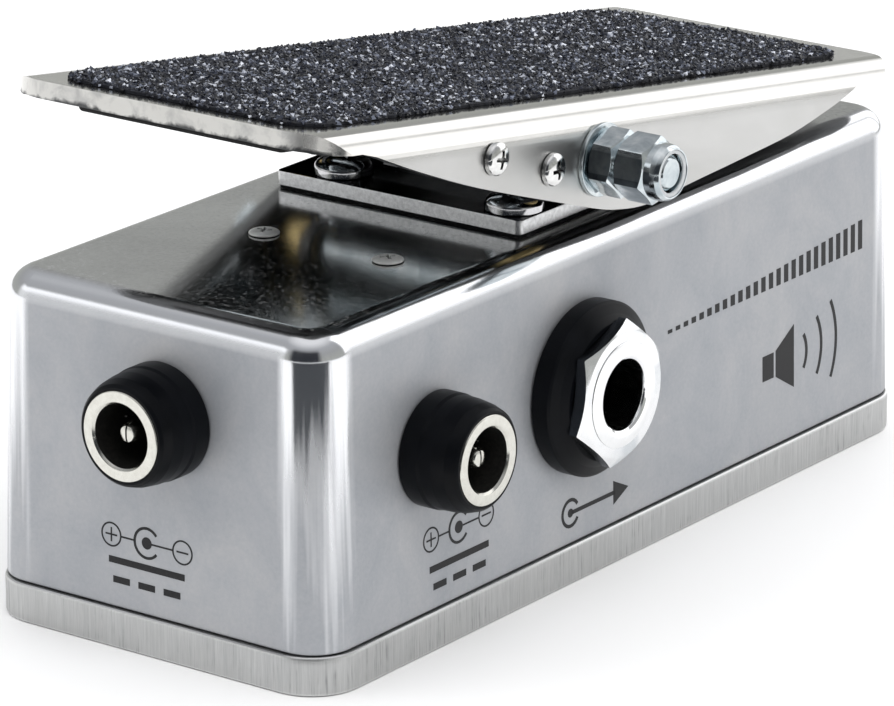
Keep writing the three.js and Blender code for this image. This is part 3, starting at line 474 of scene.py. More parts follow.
def plain_surface(name, noise, dark, light, rough, bump,
                  crevice_shade=None, tones_at=(0.3, 0.7), rough_source=(0.3, 0.7), **settings):
    mat = Material(name)
    fine = mat.noise(*noise)
    color = mat.tones(fine, dark, light, tones_at)
    if crevice_shade:
        color = mat.crevice_shade(color, **crevice_shade)
    if isinstance(rough, tuple):
        rough = mat.remap(fine, rough_source, to=rough)
    mat.finish(color=color, rough=rough, normal=mat.bump(fine, *bump), **settings)


def make_materials():
    cast_aluminium()
    cut_aluminium()
    hinge_strip()
    polished_steel()
    zinc("zinc_steel", (0.40, 0.455, 0.485), (0.58, 0.63, 0.65), (0.74, 0.77, 0.775))
    zinc("zinc_nut", (0.44, 0.50, 0.53), (0.66, 0.71, 0.73), (0.84, 0.87, 0.875), painted_dark_flats=True)
    chrome_nut()
    black_plastic()
    grit_grain()
    board_green()
    for *columns, settings in PLAIN_SURFACES:
        plain_surface(*columns, **settings)


make_materials()


# ------------------------------------------------------------------ objects and booleans
# A solid is a pair (vertices in millimetres, faces).
def as_object(verts, faces, name="tool"):
    mesh = bpy.data.meshes.new(name)
    points = [tuple(p) for p in np.asarray(verts, float) * 0.001]
    mesh.from_pydata(points, [], [tuple(int(i) for i in f) for f in faces])
    mesh.validate()
    ob = bpy.data.objects.new(name, mesh)
    scene.collection.objects.link(ob)
    return ob


def as_solid(ob):
    """Reads a working object back and removes it."""
    verts = np.array([p.co for p in ob.data.vertices]) * 1000
    faces = [tuple(p.vertices) for p in ob.data.polygons]
    bpy.data.objects.remove(ob)
    return verts, faces


def add_bevel(ob, width, segments, angle):
    bevel = ob.modifiers.new("edge", "BEVEL")
    bevel.width = width * 0.001
    bevel.segments = segments
    bevel.limit_method = "ANGLE"
    bevel.angle_limit = rad(angle)


def shade(ob, sharp):
    mesh = ob.data
    mesh.polygons.foreach_set("use_smooth", np.ones(len(mesh.polygons), bool))
    mesh.set_sharp_from_angle(angle=rad(sharp))
    mesh.update()


def own(ob, body, replaces):
    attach(ob, body)
    if replaces:
        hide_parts(replaces)


def mesh_piece(name, solid, materials, sharp, face_materials=None):
    ob = as_object(*solid, name)
    for material in materials:
        ob.data.materials.append(MATERIALS[material])
    if face_materials is not None:
        ob.data.polygons.foreach_set("material_index", np.asarray(face_materials, np.int32))
    shade(ob, sharp)
    return ob


def build(name, solid, material, replaces=None, body="base", sharp=30):
    """Makes a finished piece of one material straight from a solid."""
    ob = mesh_piece(name, solid, [material], sharp)
    own(ob, body, replaces)


def take(ob, name, material, replaces, body="base", sharp=30, weighted=True, bevel=None):
    """Turns a working object into a finished piece."""
    ob.name = name
    mesh = ob.data
    mesh.name = name
    mesh.materials.clear()
    mesh.materials.append(MATERIALS[material])
    bm = bmesh.new()
    bm.from_mesh(mesh)
    bmesh.ops.remove_doubles(bm, verts=bm.verts, dist=2e-7)
    bmesh.ops.dissolve_degenerate(bm, edges=bm.edges, dist=1e-7)
    bm.to_mesh(mesh)
    bm.free()
    mesh.polygons.foreach_set("material_index", np.zeros(len(mesh.polygons), np.int32))
    shade(ob, sharp)
    if bevel:
        add_bevel(ob, bevel, segments=3, angle=38)
    if weighted:
        normals = ob.modifiers.new("normals", "WEIGHTED_NORMAL")
        normals.keep_sharp = True
        normals.weight = 60
    own(ob, body, replaces)


def boolean(ob, tool, operation="DIFFERENCE"):
    """Applies an exact boolean on ob with the object tool, which is removed."""
    modifier = ob.modifiers.new("b", "BOOLEAN")
    modifier.operation = operation
    modifier.solver = "EXACT"
    modifier.object = tool
    graph = bpy.context.evaluated_depsgraph_get()
    new = bpy.data.meshes.new_from_object(ob.evaluated_get(graph), depsgraph=graph)
    ob.modifiers.clear()
    old = ob.data
    ob.data = new
    bpy.data.meshes.remove(old)
    bpy.data.objects.remove(tool)


def combine(ob, operation, solid):
    boolean(ob, as_object(*solid), operation)


def cut(ob, *solids):
    """One cut with one or several separate, non-touching solids."""
    boolean(ob, as_object(*join_solids(solids)))


# ------------------------------------------------------------------ outlines
def arc(cx, cy, radius, start, end, steps):
    """Points on an arc, both ends included, angles in degrees."""
    angles = [rad(start + (end - start) * i / steps) for i in range(steps + 1)]
    return [(cx + radius * math.cos(a), cy + radius * math.sin(a)) for a in angles]


def round_rect(width, length, radius, steps=10, cx=0.0, cy=0.0):
    points = []
    for sx, sy, start in ((1, -1, -90), (1, 1, 0), (-1, 1, 90), (-1, -1, 180)):
        points += arc(cx + sx * (width / 2 - radius), cy + sy * (length / 2 - radius),
                      radius, start, start + 90, steps)
    return points


def rounded(points, radius, steps):
    """Rounds the corners of a closed outline. radius is one number or one per point."""
    count = len(points)
    radii = radius if isinstance(radius, list) else [radius] * count
    out = []
    for i, p in enumerate(points):
        to_last = np.array(points[i - 1], float) - p
        to_next = np.array(points[(i + 1) % count], float) - p
        last_length, next_length = np.hypot(*to_last), np.hypot(*to_next)
        to_last, to_next = to_last / last_length, to_next / next_length
        angle = math.acos(float(np.clip(to_last @ to_next, -1, 1)))
        if angle > math.pi - 0.06:
            out.append(tuple(p))
            continue
        reach = min(radii[i] / math.tan(angle / 2), last_length * 0.46, next_length * 0.46)
        start, end = np.array(p) + to_last * reach, np.array(p) + to_next * reach
        # quadratic curve through the corner, close to an arc
        for k in range(steps + 1):
            t = k / steps
            q = (1 - t) ** 2 * start + 2 * t * (1 - t) * np.array(p, float) + t * t * end
            out.append(tuple(q))
    return out


def catmull(points, steps):
    """Smooth curve through the points, with the given steps between neighbours."""
    points = [np.array(p, float) for p in points]
    out = []
    for i in range(len(points) - 1):
        p0 = points[max(i - 1, 0)]
        p1, p2 = points[i], points[i + 1]
        p3 = points[min(i + 2, len(points) - 1)]
        for j in range(steps):
            t = j / steps
            out.append(tuple(0.5 * (2 * p1 + (p2 - p0) * t
                                    + (2 * p0 - 5 * p1 + 4 * p2 - p3) * t * t
                                    + (3 * p1 - p0 - 3 * p2 + p3) * t ** 3)))
    out.append(tuple(points[-1]))
    return out


# ------------------------------------------------------------------ solids
def volume(verts, faces):
    total = 0.0
    for f in faces:
        for i in range(1, len(f) - 1):
            total += float(np.dot(verts[f[0]], np.cross(verts[f[i]], verts[f[i + 1]])))
    return total / 6


def flipped(faces):
    return [tuple(reversed(f)) for f in faces]


def outward(verts, faces):
    """The solid with its faces turned outwards."""
    return verts, flipped(faces) if volume(verts, faces) < 0 else faces


def lathe(profile, count=72):
    """Solid of revolution about +z from (radius, height) points.

    The profile runs from the axis to the axis, or closes on itself."""
    verts, faces, rings = [], [], []
    for radius, height in profile:
        start = len(verts)
        if radius < 1e-6:
            verts.append((0, 0, height))
        else:
            for i in range(count):
                a = 2 * math.pi * i / count
                verts.append((radius * math.cos(a), radius * math.sin(a), height))
        rings.append(list(range(start, len(verts))))
    pairs = list(zip(rings[:-1], rings[1:]))
    if profile[0][0] > 1e-6:
        pairs.append((rings[-1], rings[0]))
    for a, b in pairs:
        for i in range(count):
            j = (i + 1) % count
            if len(a) == 1:
                faces.append((a[0], b[j], b[i]))
            elif len(b) == 1:
                faces.append((a[i], a[j], b[0]))
            else:
                faces.append((a[i], a[j], b[j], b[i]))
    return outward(np.array(verts, float), faces)


def loft(loops, ring=False):
    """Solid through loops of equal length. ring=True joins the last loop to the first."""
    n, m = len(loops[0]), len(loops)
    verts = np.concatenate([np.asarray(loop, float) for loop in loops])
    faces = []
    for k in range(m if ring else m - 1):
        a, b = k * n, ((k + 1) % m) * n
        for i in range(n):
            j = (i + 1) % n
            faces.append((a + i, a + j, b + j, b + i))
    if not ring:
        faces.append(tuple(reversed(range(n))))
        faces.append(tuple(range((m - 1) * n, m * n)))
    return outward(verts, faces)


def prism(outline, axis, start, end):
    """Outline in the other two axes, drawn out along axis."""
    outline = np.array(outline, float)
    return loft([np.insert(outline, "xyz".index(axis), at, axis=1) for at in (start, end)])


def slab(width, length, corner, levels, steps, cx=0.0, cy=0.0):
    """Rounded plate through (inset, z) levels."""
    return loft([[(x, y, z) for x, y in round_rect(width - 2 * inset, length - 2 * inset,
                                                   corner - inset, steps, cx, cy)]
                 for inset, z in levels])


def rod(axis, radius, start, end, u, v, count=64):
    """Cylinder along axis; u and v are its place on the other two axes, in x, y, z order."""
    verts, faces = lathe([(0, start), (radius, start), (radius, end), (0, end)], count)
    index = "xyz".index(axis)
    return np.roll(verts, index + 1, axis=1) + np.insert([float(u), float(v)], index, 0), faces


def block(x0, x1, y0, y1, z0, z1):
    corners = ((x0, y0), (x1, y0), (x1, y1), (x0, y1))
    faces = [(3, 2, 1, 0), (4, 5, 6, 7), (0, 1, 5, 4), (1, 2, 6, 5), (2, 3, 7, 6), (3, 0, 4, 7)]
    return np.array([(x, y, z) for z in (z0, z1) for x, y in corners], float), faces


def join_solids(solids):
    verts, faces, start = [], [], 0
    for part, part_faces in solids:
        verts.append(np.asarray(part, float))
        faces += [tuple(i + start for i in f) for f in part_faces]
        start += len(part)
    return np.concatenate(verts), faces


# where a solid's own x, y and z point after laying it in a direction
AXES = {
    "+z": ((1, 0, 0), (0, 1, 0), (0, 0, 1)),
    "-x": ((0, -1, 0), (0, 0, 1), (-1, 0, 0)),
    "+x": ((0, 1, 0), (0, 0, 1), (1, 0, 0)),
    "+y": ((-1, 0, 0), (0, 0, 1), (0, 1, 0)),
}
SIDEWAYS = {-1: "-x", 1: "+x"}


def lay(solid, direction, origin):
    verts, faces = solid
    u, v, w = (np.array(axis, float) for axis in AXES[direction])
    placed = verts[:, 0:1] * u + verts[:, 1:2] * v + verts[:, 2:3] * w
    return placed + np.asarray(origin, float), faces


def shift(solid, x, y, z):
    return solid[0] + np.array([x, y, z]), solid[1]


def spin(solid, degrees):
    """Turns a solid about z."""
    c, s = math.cos(rad(degrees)), math.sin(rad(degrees))
    return solid[0] @ np.array([[c, -s, 0], [s, c, 0], [0, 0, 1]]).T, solid[1]


def tilt(solid):
    """From the treadle frame to the box frame."""
    verts, faces = solid
    c, s = math.cos(rad(TILT)), math.sin(rad(TILT))
    return np.stack([verts[:, 0], AXLE_Y + verts[:, 1] * c - verts[:, 2] * s,
                     AXLE_Z + verts[:, 1] * s + verts[:, 2] * c], 1), faces


# the same move for meshes already in metres
TILT_MATRIX = Matrix([[1, 0, 0, 0],
                      [0, math.cos(rad(TILT)), -math.sin(rad(TILT)), AXLE_Y * 0.001],
                      [0, math.sin(rad(TILT)), math.cos(rad(TILT)), AXLE_Z * 0.001],
                      [0, 0, 0, 1]])


# ------------------------------------------------------------------ nuts and screws
def hexnut(across, height, bore, turn, chamfer, chamfer_bottom=False, corner=0.12, flat_points=7):
    """Nut on z = 0. The chamfer is a cone, so each flat shows its curved edge."""
    corners = np.array(arc(0, 0, across / math.sqrt(3), turn, turn + 360, 6)[:-1])
    points = []
    for i in range(6):
        p, q, after = corners[i], corners[(i + 1) % 6], corners[(i + 2) % 6]
        along = (q - p) / np.linalg.norm(q - p)
        onward = (after - q) / np.linalg.norm(after - q)
        a, b = p + along * corner, q - along * corner
        points += [a + (b - a) * k / (flat_points - 1) for k in range(flat_points)]
        points.append(0.25 * b + 0.5 * q + 0.25 * (q + onward * corner))
    points = np.array(points)
    full = np.hypot(points[:, 0], points[:, 1])
    unit = points / full[:, None]
    face_radius = across / 2 - chamfer * 0.55
    rise = np.maximum(0.0, (full - face_radius) * math.tan(rad(30)))
    face = np.minimum(full, face_radius)
    sections = [  # (radius, z)
        (bore + 0.12, 0.0),
        (face if chamfer_bottom else full - 0.04, 0.0),
        (full, rise if chamfer_bottom else 0.04),
        (full, height - rise - 0.02),
        (face, height - 0.015),
        (face - 0.05, height),
        (bore + 0.14, height),
        (bore, height - 0.14),
        (bore, 0.12),
    ]
    ones = np.ones(len(full))
    return loft([np.column_stack([unit * (radius * ones)[:, None], z * ones])
                 for radius, z in sections], ring=True)


def cross_tool(size, depth, top):
    """Cutter for a cross recess that narrows to a blunt tip."""
    def plus(reach, half, z):
        web = half * 0.55
        arm = [(reach, -half), (reach, half), (half + web, half), (half, half + web)]
        points = []
        for _ in range(4):
            points += [(x, y, z) for x, y in arm]
            arm = [(-y, x) for x, y in arm]
        return points
    return loft([plus(size * 1.12, size * 0.235, top + 0.4), plus(size, size * 0.205, top),
                 plus(size * 0.62, size * 0.15, top - depth * 0.7),
                 plus(size * 0.30, size * 0.10, top - depth)])


def thread(radius, depth, pitch, start, end, tip=False, count=32, step=None):
    """Threaded rod along z. tip=True narrows it towards the start."""
    sections = int(round((end - start) / (step or pitch / 5))) + 1
    loops = []
    for k in range(sections):
        z = start + (end - start) * k / (sections - 1)
        loop = []
        for i in range(count):
            a = 2 * math.pi * i / count
            phase = (z / pitch - i / count) % 1.0
            ridge = 1 - abs(2 * phase - 1)
            r = radius - depth * (1 - ridge)
            if tip:
                r *= min(1.0, 0.45 + (z - start) / (2.2 * radius) * 0.55)
            loop.append((r * math.cos(a), r * math.sin(a), z))
        loops.append(loop)
    return loft(loops)


def pan_screw(name, turn, direction, origin, material, body="base", *, head_radius, head_height,
              dome, shank_radius, length, cross, cross_depth):
    """Pan-head cross-recess screw, seated at the origin. dome is the domed share of the head."""
    rim = head_height * (1 - dome)
    profile = [(0, 0.0), (head_radius * 0.94, 0.0), (head_radius, 0.06), (head_radius, rim)]
    steps = 7
    for i in range(1, steps + 1):
        a = i / steps * math.pi / 2
        radius = head_radius * math.cos(a) ** 0.9 if i < steps else 0.0
        profile.append((radius, rim + head_height * dome * math.sin(a)))
    blank = as_object(*lathe(profile, 56))
    cut(blank, spin(cross_tool(cross, cross_depth, head_height), turn))
    head = lay(as_solid(blank), direction, origin)
    shank = lay(thread(shank_radius, 0.12, 0.5, -length, 0.05, tip=True), direction, origin)
    if body == "treadle":
        head, shank = tilt(head), tilt(shank)
    # the shank passes through the head's underside: fuse them into one closed solid
    screw = as_object(*head)
    combine(screw, "UNION", shank)
    take(screw, f"{name}_body", material, name, body, sharp=28, weighted=False)


# ------------------------------------------------------------------ base plate
PLATE_LEVELS = [  # (inset, z)
    (0.55, 0.0), (0.22, 0.02), (0.06, 0.12), (0.0, 0.32), (0.0, 0.8), (0.02, 1.8), (0.0, 2.8),
    (0.0, PLATE_THICK - 0.34), (0.07, PLATE_THICK - 0.12), (0.2, PLATE_THICK - 0.02),
    (0.42, PLATE_THICK)]
# (radius, z) of the countersunk hole and of the screw head in it
COUNTERSINK = [(0, -0.5), (3.42, -0.5), (3.16, 0.05), (1.65, 1.55), (1.65, 4.6), (0, 4.6)]
BASE_SCREW_HEAD = [(0, 0.15), (2.6, 0.15), (2.74, 0.28), (1.5, 1.62), (1.45, 1.75), (1.45, 3.0),
                   (0, 3.0)]


def make_base_plate():
    ob = as_object(*slab(PLATE_WIDTH, PLATE_LENGTH, PLATE_CORNER, PLATE_LEVELS, 14))
    for x, y in BASE_SCREWS:
        cut(ob, shift(lathe(COUNTERSINK, 48), x, y, 0))
    take(ob, "base_plate_body", "cut_aluminium", "base_plate")


def make_base_screws():
    for i, (x, y) in enumerate(BASE_SCREWS):
        screw = as_object(*lathe(BASE_SCREW_HEAD, 48))
        # the recess opens downwards
        verts, faces = cross_tool(1.45, 1.15, 0.0)
        recess = shift((verts * np.array([1, 1, -1]), flipped(faces)), 0, 0, 0.15)
        cut(screw, spin(recess, 25 + 37 * i))
        combine(screw, "UNION", thread(1.45, 0.15, 0.7, 2.9, 11.6))
        screw.data.transform(Matrix.Translation((x * 0.001, y * 0.001, 0)))
        name = f"base_screw_{i + 1}"
        take(screw, f"{name}_body", "zinc_steel", name, weighted=False)


# ------------------------------------------------------------------ enclosure
# slot through the lid
SLOT_X, SLOT_WIDTH, SLOT_HEEL, SLOT_TOE = -10.55, 3.5, -36.9, -27.0
JACK_HOLE, POWER_HOLE = 4.9, 4.2  # radii


def box_section(z, inset):
    draft = box_draft(z)
    outline = round_rect(BOX_WIDTH - 2 * draft - 2 * inset, BOX_LENGTH - 2 * draft - 2 * inset,
                         BOX_CORNER - inset * 0.985, 14)
    return [(x, y, z) for x, y in outline]


def box_hollow():
    """Cutter for the hollow, which leaves a post and a corner web at each base screw."""
    ceiling = BOX_TOP - BOX_ROOF
    loops = []
    for z, corner, inset in ((-1, 2.5, 0.0), (ceiling - 1.2, 2.5, 0.0), (ceiling - 0.35, 2.3, 0.3),
                             (ceiling, 1.5, 1.0)):
        outline = round_rect(BOX_WIDTH - 2 * BOX_WALL - 2 * inset,
                             BOX_LENGTH - 2 * BOX_WALL - 2 * inset, corner, 6)
        loops.append([(x, y, z) for x, y in outline])
    hollow = as_object(*loft(loops))
    for x, y in BASE_SCREWS:
        cut(hollow, rod("z", 3.2, -2, 31, x, y, 40))
        web_x, web_y = math.copysign(1, x) * 19, math.copysign(1, y) * 48
        cut(hollow, block(*sorted((x, web_x)), *sorted((y, web_y)), -2, 31))
    return hollow


def make_enclosure():
    loops = [box_section(z, inset) for inset, z in (
        (0.28, BOX_BOTTOM), (0.1, BOX_BOTTOM + 0.06), (0.0, BOX_BOTTOM + 0.28), (0.0, 10),
        (0.0, 20), (0.0, BOX_TOP - BOX_ROUND))]
    steps = 14
    for i in range(1, steps + 1):
        a = math.pi / 2 * i / steps
        loops.append(box_section(BOX_TOP - BOX_ROUND + BOX_ROUND * math.sin(a),
                                 BOX_ROUND * (1 - math.cos(a))))
    ob = as_object(*loft(loops))
    boolean(ob, box_hollow())
    cuts = [rod("x", JACK_HOLE, -25, -10, JACK_OUT_Y, JACK_Z),
            rod("x", JACK_HOLE, 10, 25, JACK_IN_Y, JACK_Z),
            rod("x", POWER_HOLE, -25, -10, POWER_SIDE_Y, POWER_SIDE_Z),
            rod("y", POWER_HOLE, 38, 50, POWER_TOE_X, POWER_TOE_Z)]
    cuts += [rod("z", 1.55, 28, 40, x, y, 32) for x, y in BRACKET_SCREWS]
    cuts += [rod("z", 1.0, 28, 40, x, y, 24) for x, y in BOARD_SCREWS + POT_SCREWS]
    cuts += [rod("z", 1.65, 0, 13, x, y, 24) for x, y in BASE_SCREWS]
    slot = round_rect(SLOT_WIDTH, SLOT_TOE - SLOT_HEEL, 0.9, 5, SLOT_X, (SLOT_HEEL + SLOT_TOE) / 2)
    cuts.append(prism(slot, "z", 24, 40))
    cut(ob, *cuts)
    take(ob, "enclosure_shell", "cast_aluminium", "enclosure", sharp=28)


# ------------------------------------------------------------------ treadle
# lower edge of the skirts, toe to heel: (s, n)
SKIRT = [(33.4, 3.1), (27.3, 1.3), (18.1, -1.0), (5.7, -3.45), (-0.75, -4.65), (-4.0, -4.98),
         (-7.2, -5.02), (-10.5, -4.6), (-15.2, -3.65), (-23.3, -2.15), (-31.7, -0.5), (-38.4, 1.5)]


def make_treadle():
    half, thick, bend = SHEET_WIDTH / 2, SHEET_THICK, SHEET_BEND
    low, bend_x, bend_n = SHEET_TOP - 14, half - bend, SHEET_TOP - bend
    section = [(-half, low)]
    section += arc(-bend_x, bend_n, bend, 180, 90, 12) + arc(bend_x, bend_n, bend, 90, 0, 12)
    section += [(half, low), (half - thick, low)]
    section += arc(bend_x, bend_n, bend - thick, 0, 90, 12)
    section += arc(-bend_x, bend_n, bend - thick, 90, 180, 12)
    section.append((-half + thick, low))
    sheet = prism(section, "y", SHEET_HEEL - 0.01, SHEET_TOE + 0.01)
    ob = as_object(*shift(sheet, CENTRE_X, 0, 0))
    plan = round_rect(SHEET_WIDTH, SHEET_TOE - SHEET_HEEL, SHEET_CORNER, 18, CENTRE_X,
                      (SHEET_HEEL + SHEET_TOE) / 2)
    combine(ob, "INTERSECT", prism(plan, "z", -15, 15))
    side = [(46, 13), (46, 3.42), (35.2, 3.45)] + catmull(SKIRT, 4)
    side += [(-43, 3.1), (-45.5, 3.45), (-56, 3.42), (-56, 13)]
    combine(ob, "INTERSECT", prism(side, "x", -30, 30))
    cut(ob, rod("x", 1.9, -30, 30, 0, 0, 40),
        *[rod("x", 1.05, -30, 30, s, n, 24) for s, n in YOKE_SCREWS])
    ob.data.transform(TILT_MATRIX)
    take(ob, "treadle_sheet", "polished_steel", "treadle_plate", "treadle", bevel=0.16)


# ------------------------------------------------------------------ grit pad
PAD_Z = SHEET_TOP + GAP
PAD_LENGTH = PAD_TOE - PAD_HEEL
PAD_MIDDLE = (PAD_TOE + PAD_HEEL) / 2
GRAIN_PITCH = 0.37


def pad_binder(rng):
    """Thin sheet with a slightly ragged outline."""
    corners = np.array(round_rect(PAD_WIDTH, PAD_LENGTH, PAD_CORNER, 8))
    outline = []
    for i, p in enumerate(corners):
        q = corners[(i + 1) % len(corners)]
        count = max(1, int(np.hypot(*(q - p)) / 0.7))
        outline += [p + (q - p) * k / count for k in range(count)]
    outline = np.array(outline)
    normals = np.roll(outline, -1, 0) - np.roll(outline, 1, 0)
    normals = np.stack([normals[:, 1], -normals[:, 0]], 1)
    normals /= np.hypot(normals[:, 0], normals[:, 1])[:, None]
    outline = outline + normals * rng.uniform(-0.16, 0.12, len(outline))[:, None]
    loops = []
    for inset, height in ((0.0, 0.0), (0.0, 0.24), (0.1, 0.30)):
        ring = outline - normals * inset + (CENTRE_X, PAD_MIDDLE)
        loops.append(np.column_stack([ring, np.full(len(ring), PAD_Z + height)]))
    return loft(loops)


def pad_grains(rng):
    """Squashed, jittered octahedra on a jittered hexagonal grid: vertices, faces, values."""
    shape = np.array([(1, 0, 0), (-1, 0, 0), (0, 1, 0), (0, -1, 0), (0, 0, 1), (0, 0, -1)], float)
    shape_faces = np.array([(0, 2, 4), (2, 1, 4), (1, 3, 4), (3, 0, 4),
                            (2, 0, 5), (1, 2, 5), (3, 1, 5), (0, 3, 5)])
    half_x, half_y = PAD_WIDTH / 2, PAD_LENGTH / 2
    x, y = np.meshgrid(np.arange(-half_x - 0.3, half_x + 0.3, GRAIN_PITCH),
                       np.arange(-half_y - 0.3, half_y + 0.3, GRAIN_PITCH * 0.9))
    x = x + (np.arange(x.shape[0]) % 2 * GRAIN_PITCH / 2)[:, None]
    x, y = x.ravel(), y.ravel()
    x = x + rng.uniform(-0.14, 0.14, x.size)
    y = y + rng.uniform(-0.14, 0.14, y.size)
    # keep those inside the rounded rectangle; some stick out over the edge
    reach = np.hypot(np.maximum(np.abs(x) - (half_x - PAD_CORNER), 0),
                     np.maximum(np.abs(y) - (half_y - PAD_CORNER), 0))
    keep = reach < PAD_CORNER - 0.06 + np.where(rng.random(x.size) < 0.45, 0.20, 0.0)
    x, y = x[keep], y[keep]
    count = x.size
    scale = rng.uniform(0.17, 0.31, (count, 1)) * rng.uniform(0.75, 1.3, (count, 3))
    scale = scale * np.array([1, 1, 0.85])
    turns = np.linalg.qr(rng.normal(size=(count, 3, 3)))[0]
    turns[np.linalg.det(turns) < 0, :, 0] *= -1
    grains = shape[None] * (1 + rng.uniform(-0.25, 0.25, (count, 6, 1))) * scale[:, None, :]
    grains = np.einsum("nij,nkj->nki", turns, grains)
    grains[:, :, 0] += (x + CENTRE_X)[:, None]
    grains[:, :, 1] += (y + PAD_MIDDLE)[:, None]
    rim = reach[keep] > PAD_CORNER - 0.45
    lift = PAD_Z + 0.22 + rng.uniform(-0.04, 0.13, count)
    lift = lift - np.where(rim, rng.uniform(0.0, 0.16, count), 0.0)
    grains[:, :, 2] += lift[:, None]
    grains[:, :, 2] = np.maximum(grains[:, :, 2], PAD_Z + 0.06)
    faces = (shape_faces[None] + (np.arange(count) * 6)[:, None, None]).reshape(-1, 3)
    # most grains are dark; one in five is bright, its near-white colour a painted glint
    value = rng.random(count)
    value = np.where(rng.random(count) < 0.80, 0.72 * value, 0.74 + 0.26 * value)
    return grains.reshape(-1, 3), faces.tolist(), np.repeat(value, len(shape_faces))


def make_pad():
    """Binder sheet with several thousand angular mineral grains bedded in it."""
    rng = np.random.default_rng(20)
    binder = pad_binder(rng)
    verts, faces, values = pad_grains(rng)
    plain = len(binder[1])
    ob = mesh_piece("grit_pad_sheet", tilt(join_solids([binder, (verts, faces)])),
                    ["grit_binder", "grit_grain"], 12, [0] * plain + [1] * len(faces))
    mesh = ob.data
    attribute = mesh.attributes.new("grain", "FLOAT", "FACE")
    attribute.data.foreach_set("value", np.array([0.0] * plain + list(values), np.float32))
    mesh.polygons.foreach_set("use_smooth", np.zeros(len(mesh.polygons), bool))
    own(ob, "treadle", "grip_pad")


# ------------------------------------------------------------------ rubber bumpers
def soft_bar(width, length, height, corner, cx, cy, bottom, seed, waviness=0.05):
    """Rubber bar with rounded top edges and a slightly uneven skin."""
    phase = np.random.default_rng(seed).uniform(0, 6.28, 4)
    edge = min(height * 0.45, 0.5)
    levels = [(0.12, 0.0), (0.0, 0.12)]  # (inset, z)
    levels += [(edge * (1 - math.cos(a)), height - edge + edge * math.sin(a))
               for a in np.linspace(0, math.pi / 2, 5)]
    loops = []
    for inset, z in levels:
        loop = []
        for x, y in round_rect(width - 2 * inset, length - 2 * inset,
                               max(corner - inset, 0.08), 6):
            wave = waviness * (math.sin(x * 0.9 + phase[0]) + 0.6 * math.sin(x * 2.3 + phase[1]))
            loop.append((cx + x, cy + y + (wave if y > 0 else -wave) * 0.5,
                         bottom + z + (wave * 0.6 if z > height * 0.5 else 0)))
        loops.append(loop)
    return loft(loops)


def make_bumpers():
    # the toe bumper hangs upside down from the underside of the sheet
    verts, faces = soft_bar(22.8, 3.2, 0.92, 0.6, CENTRE_X, 35.9, 0, seed=5)
    verts[:, 2] = SHEET_TOP - SHEET_THICK - GAP - verts[:, 2]
    build("toe_bumper_rubber", tilt((verts, flipped(faces))), "black_rubber", "toe_bumper",
          "treadle", sharp=50)
    bar = soft_bar(18.0, 3.0, 1.7, 1.2, CENTRE_X, -41.4, BOX_TOP + GAP, seed=9)
    build("heel_bumper_rubber", bar, "black_rubber", "heel_bumper", sharp=50)


# ------------------------------------------------------------------ hinge stack
def rivet_holes():
    return [rod("z", 1.25, 30, 40, x, y, 24) for x, y in BRACKET_RIVETS]


def make_hinge_strip():
    x0, x1 = CENTRE_X - STRIP_HALF, CENTRE_X + STRIP_HALF + 0.5
    levels = [(inset, STRIP_Z + z) for inset, z in (
        (0.1, 0), (0.0, 0.1), (0.0, STRIP_THICK - 0.12), (0.04, STRIP_THICK - 0.03),
        (0.12, STRIP_THICK))]
    ob = as_object(*slab(x1 - x0, STRIP_TOE - STRIP_HEEL, 0.6, levels, 6, (x0 + x1) / 2,
                         (STRIP_HEEL + STRIP_TOE) / 2))
    cut(ob, *[rod("z", 1.6, 30, 40, x, y, 32) for x, y in BRACKET_SCREWS], *rivet_holes())
    take(ob, "hinge_strip_plate", "hinge_strip", "hinge_base")


def make_hinge_channel():
    """Folded channel with rounded folds and round-topped ears."""
    half, outer, inner, height = CHANNEL_HALF, 1.7, 0.5, 12.0
    fold = half - outer
    section = [(-half, height)]
    section += arc(-fold, outer, outer, 180, 270, 8) + arc(fold, outer, outer, 270, 360, 8)
    section += [(half, height), (half - CHANNEL_THICK, height)]
    section += arc(fold, outer, inner, 0, -90, 8) + arc(-fold, outer, inner, -90, -180, 8)
    section.append((-half + CHANNEL_THICK, height))
    ob = as_object(*shift(prism(section, "y", -8.2, 11.0), CENTRE_X, 0, CHANNEL_Z))
    ear = [(-8.2, CHANNEL_Z - 1), (5.2, CHANNEL_Z - 1), (5.2, CHANNEL_Z + 1.6)]  # (y, z)
    ear += arc(AXLE_Y, AXLE_Z, 3.0, -35, 197, 29) + [(-8.2, CHANNEL_Z + 1.6)]
    combine(ob, "INTERSECT", prism(ear, "x", -30, 30))
    cut(ob, rod("x", 2.25, -30, 30, AXLE_Y, AXLE_Z, 48), *rivet_holes())
    take(ob, "hinge_channel", "polished_steel", "hinge_bracket", bevel=0.10)


def make_bracket_rivets():
    floor = CHANNEL_Z + CHANNEL_THICK
    profile = [(0, STRIP_Z + 0.05), (1.2, STRIP_Z + 0.05)]
    profile += [(radius, floor + z) for radius, z in (
        (1.2, 0.02), (2.0, 0.02), (2.1, 0.12), (1.98, 0.36), (1.55, 0.6), (0.9, 0.72), (0, 0.76))]
    for i, (x, y) in enumerate(BRACKET_RIVETS):
        name = f"bracket_rivet_{i + 1}"
        build(f"{name}_body", shift(lathe(profile, 40), x, y, 0), "zinc_steel", name, sharp=40)


# ------------------------------------------------------------------ pan-head screws
HINGE_SCREW = dict(head_radius=2.75, head_height=1.65, dome=0.62, shank_radius=1.42, length=6.3,
                   cross=1.45, cross_depth=1.0)
LID_SCREW = dict(head_radius=1.42, head_height=0.45, dome=0.7, shank_radius=0.80, cross=0.80,
                 cross_depth=0.36)
YOKE_SCREW = dict(head_radius=1.52, head_height=0.95, dome=0.6, shank_radius=0.88, length=3.6,
                  cross=0.92, cross_depth=0.62)


